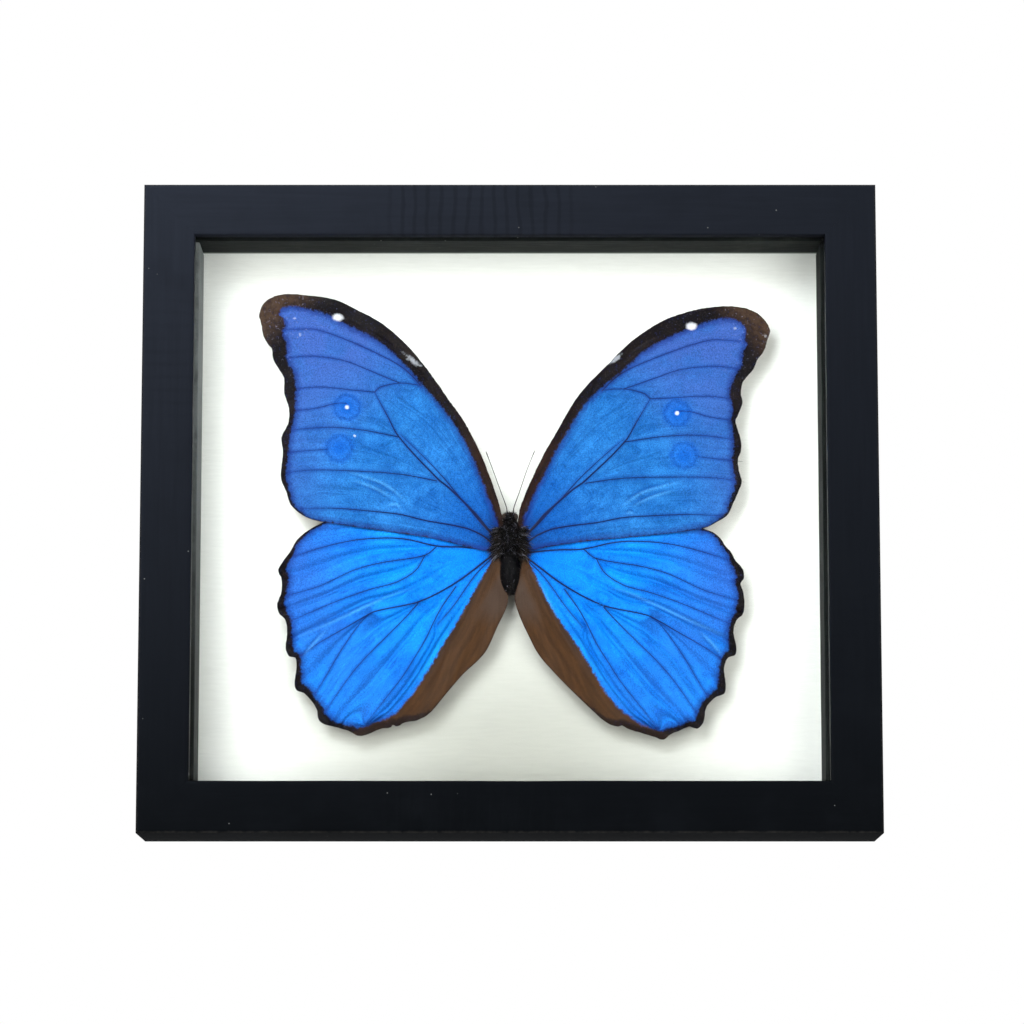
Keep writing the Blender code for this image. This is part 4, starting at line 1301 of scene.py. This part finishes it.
def hairs(rng, roots, headings, lengths, widths, shades, glints, bend):
    """Tapered three sided hairs that droop along their length."""
    vertices, faces, held = [], [], []
    side = np.cross(headings, rng.normal(size=headings.shape))
    side /= np.linalg.norm(side, axis=1)[:, None]
    other = np.cross(headings, side)
    for share in (0.0, 0.4, 0.75, 1.0):
        middle = roots + headings * (lengths * share)[:, None]
        middle = middle + bend * (lengths * share ** 2)[:, None]
        radius = widths * (1 - share * 0.92) / 2
        for spoke in range(3):
            angle = spoke * 2 * math.pi / 3
            vertices.append(middle + side * (radius * math.cos(angle))[:, None]
                            + other * (radius * math.sin(angle))[:, None])
            held.append(np.column_stack([shades, np.full(len(roots), share), glints]))
    count = len(roots)
    for level in range(3):
        for spoke in range(3):
            one, two = (level * 3 + spoke) * count, (level * 3 + (spoke + 1) % 3) * count
            faces += [(one + k, two + k, two + 3 * count + k, one + 3 * count + k)
                      for k in range(count)]
    faces += [(9 * count + k, 10 * count + k, 11 * count + k) for k in range(count)]
    faces += [(2 * count + k, count + k, k) for k in range(count)]
    return np.vstack(vertices), faces, np.vstack(held)


def ring_faces(first, rings, spokes):
    """The four sided faces between rings of points that follow each other."""
    faces = []
    for k in range(rings):
        one, two = first + k * spokes, first + (k + 1) * spokes
        for j in range(spokes):
            following = (j + 1) % spokes
            faces.append((two + j, two + following, one + following, one + j))
    return faces


def body_skin():
    """The turned form of the body with rings on the abdomen, and a ball for each eye."""
    profile = smooth_line([(height, radius) for radius, height in BODY_PROFILE], 0.14)[:, ::-1]
    angles = np.arange(BODY_SPOKES) * 2 * math.pi / BODY_SPOKES
    vertices = []
    for radius, height in profile:
        ringed = 1.0
        if height < WAIST:
            ringed -= 0.025 * math.exp(-(((height * 0.62) % 1.0 - 0.5) / 0.13) ** 2)
        lumps = 0.05 * np.sin(5 * angles + 2 * height) * np.sin(2.6 * height + angles)
        lumps = 1 + lumps * (1 if height > WAIST else 0.2)
        reach = max(radius, 0.01) * ringed * lumps
        vertices.append(np.column_stack([
            reach * np.cos(angles), BODY_FLATTEN * reach * np.sin(angles),
            np.full(BODY_SPOKES, height)]))
    used = len(profile) * BODY_SPOKES
    faces = ring_faces(0, len(profile) - 1, BODY_SPOKES)
    faces.append(tuple(range(BODY_SPOKES)))
    faces.append(tuple(reversed(range(used - BODY_SPOKES, used))))
    kinds = [0] * len(faces)
    angles = np.arange(EYE_SPOKES) * 2 * math.pi / EYE_SPOKES
    for x, z in EYE_PLACES:
        for ring in range(EYE_RINGS + 1):
            tilt = math.pi * ring / EYE_RINGS
            flat = max(math.sin(tilt), 0.002)
            vertices.append(np.column_stack([
                x + 0.82 * EYE_RADIUS * flat * np.cos(angles),
                -0.25 + EYE_RADIUS * flat * np.sin(angles),
                np.full(EYE_SPOKES, z + EYE_RADIUS * math.cos(tilt))]))
        faces += ring_faces(used, EYE_RINGS, EYE_SPOKES)
        kinds += [2] * (EYE_RINGS * EYE_SPOKES)
        used += (EYE_RINGS + 1) * EYE_SPOKES
    return np.vstack(vertices), faces, kinds


def coat(rng, count, low, high, length, lean, shade, glint, reach):
    """Hairs that grow from the body's skin between two heights."""
    profile = smooth_line([(height, radius) for radius, height in BODY_PROFILE], 0.14)
    heights = rng.uniform(low, high, count)
    radius = np.interp(heights, profile[::-1, 0], profile[::-1, 1])
    angles = rng.uniform(0, 2 * math.pi, count)
    out = np.column_stack([np.cos(angles), BODY_FLATTEN * np.sin(angles), np.zeros(count)])
    roots = out * radius[:, None] * 0.97
    roots[:, 2] = heights
    headings = out * reach + lean + rng.normal(0, 0.42, (count, 3))
    headings /= np.linalg.norm(headings, axis=1)[:, None]
    clump = 0.75 + 0.35 * np.sin(angles * 5 + heights * 2.3) * np.sin(heights * 3.1 + angles * 2)
    lengths = length * clump * rng.uniform(0.6, 1.15, count)
    return (roots, headings, lengths, rng.uniform(0.09, 0.17, count),
            (shade + rng.normal(0, 0.14, count)).clip(0, 1),
            (rng.random(count) < glint) * rng.uniform(0.3, 0.9, count))


def tufts(rng, count, low, high, reach_out, plane, shade):
    """Hairs combed outward from the thorax over the roots of the wings."""
    side = rng.choice([-1.0, 1.0], count)
    heights = rng.uniform(low, high, count)
    roots = np.column_stack([side * rng.uniform(2.2, 3.8, count),
                             plane + rng.uniform(-0.5, 0.2, count), heights])
    headings = np.column_stack([side * reach_out, rng.normal(-0.10, 0.10, count),
                                rng.normal(-0.15, 0.35, count) + heights * 0.10])
    headings /= np.linalg.norm(headings, axis=1)[:, None]
    return (roots, headings, rng.uniform(1.2, 3.6, count), rng.uniform(0.09, 0.17, count),
            (shade + rng.normal(0, 0.16, count)).clip(0, 1),
            (rng.random(count) < 0.10) * rng.uniform(0.3, 0.8, count))


rng = np.random.default_rng(3)
skin_points, skin_faces, skin_kinds = body_skin()
plane = FOREWING_PLANE - BODY_Y / MM
# A coat: how many hairs, from and to which height, length, lean, shade, share that glints and
# how far they stand out. A tuft: how many, from and to which height, reach, depth and shade.
groups = [
    coat(rng, 2900, -4.9, 4.6, 1.8, (0.0, -0.45, -0.25), 0.0, 0.10, 0.85),
    coat(rng, 900, 3.4, 6.8, 1.0, (0.0, -0.3, 0.25), 0.0, 0.08, 0.9),
    coat(rng, 1100, -15.6, -4.8, 0.7, (0.0, 0.0, -1.3), 0.03, 0.02, 0.30),
    coat(rng, 120, 6.2, 7.2, 1.3, (0.0, -0.2, 1.0), 0.25, 0.15, 0.5),
    tufts(rng, 900, -3.2, 2.6, 1.0, plane - 0.25, 0.0),
    tufts(rng, 800, -5.2, -0.5, 0.8, plane + 0.3, 0.14)]
bend = np.array([0.0, 0.12, -0.22])
vertices, faces, kinds = [skin_points], skin_faces, skin_kinds
held = [np.zeros((len(skin_points), 3))]
used = len(skin_points)
for group in groups:
    made, made_faces, made_held = hairs(rng, *group, bend)
    vertices.append(made)
    faces += [tuple(corner + used for corner in face) for face in made_faces]
    kinds += [1] * len(made_faces)
    held.append(made_held)
    used += len(made)
placed = np.vstack(vertices) + (0.0, BODY_Y / MM, THORAX_Z / MM)
body = make_mesh("body_with_hair", placed, faces, kinds,
                 [body_horn(), hair_coat(), eye_horn()], sharp=80)
store(body, "hair", np.vstack(held).T)
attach(body, "root")
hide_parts("butterfly_body")


# Antennae. Two thin stiff threads of dark horn, thicker to a slight club at the tip, that
# stand forward from the head.
ANTENNA_COURSES = {
    "left": [
        (-0.75, -0.3, 6.9), (-0.95, -0.5, 8.6), (-2.6, -0.8, 13.2), (-4.7, -1.05, 19.0),
        (-6.7, -1.2, 24.4)],
    "right": [
        (0.95, -0.3, 6.9), (1.15, -0.5, 8.6), (2.7, -0.8, 13.0), (4.7, -1.05, 18.9),
        (7.0, -1.2, 24.7)]}
ANTENNA_SPOKES = 10


def antenna_horn():
    material, tree, shader = new_material("horn of the antennae")
    rings = add_node(tree, "ShaderNodeTexWave",
                     {"Vector": place_of(tree), "Scale": 900.0, "Distortion": 1.0},
                     bands_direction="Z").outputs["Fac"]
    colour = blend(tree, rings, tone(26, 24, 26), tone(70, 66, 66))
    finish_shader(tree, shader, {
        "Base Color": colour, "Roughness": span(tree, rings, 0.0, 1.0, 0.35, 0.5),
        "Normal": bump_of(tree, rings, 0.00003, 0.5), "Specular IOR Level": 0.4})
    return material


antenna_finish = antenna_horn()
for side, course in ANTENNA_COURSES.items():
    line = smooth_line(np.array(course)[:, [0, 2, 1]], 0.25)
    share = np.linspace(0.0, 1.0, len(line))
    radius = 0.15 - 0.05 * step_up(share, 0.0, 0.6) + 0.06 * step_up(share, 0.82, 0.95)
    radius *= 1 + 0.10 * np.cos(np.arange(len(line)) * math.pi)
    radius *= 1 - 0.75 * step_up(share, 0.97, 1.0)
    vertices = []
    for (x, z, y), thick in zip(line, radius):
        for spoke in range(ANTENNA_SPOKES):
            angle = spoke * 2 * math.pi / ANTENNA_SPOKES
            vertices.append((x + thick * math.cos(angle), y + thick * math.sin(angle), z))
    faces = [face[::-1] for face in ring_faces(0, len(line) - 1, ANTENNA_SPOKES)]
    faces.append(tuple(reversed(range(ANTENNA_SPOKES))))
    faces.append(tuple(range(len(vertices) - ANTENNA_SPOKES, len(vertices))))
    placed = np.array(vertices) + (0.0, BODY_Y / MM, THORAX_Z / MM)
    antenna = make_mesh("thread_" + side, placed, faces, [0] * len(faces), [antenna_finish])
    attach(antenna, "root")
    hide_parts("antenna_" + side)
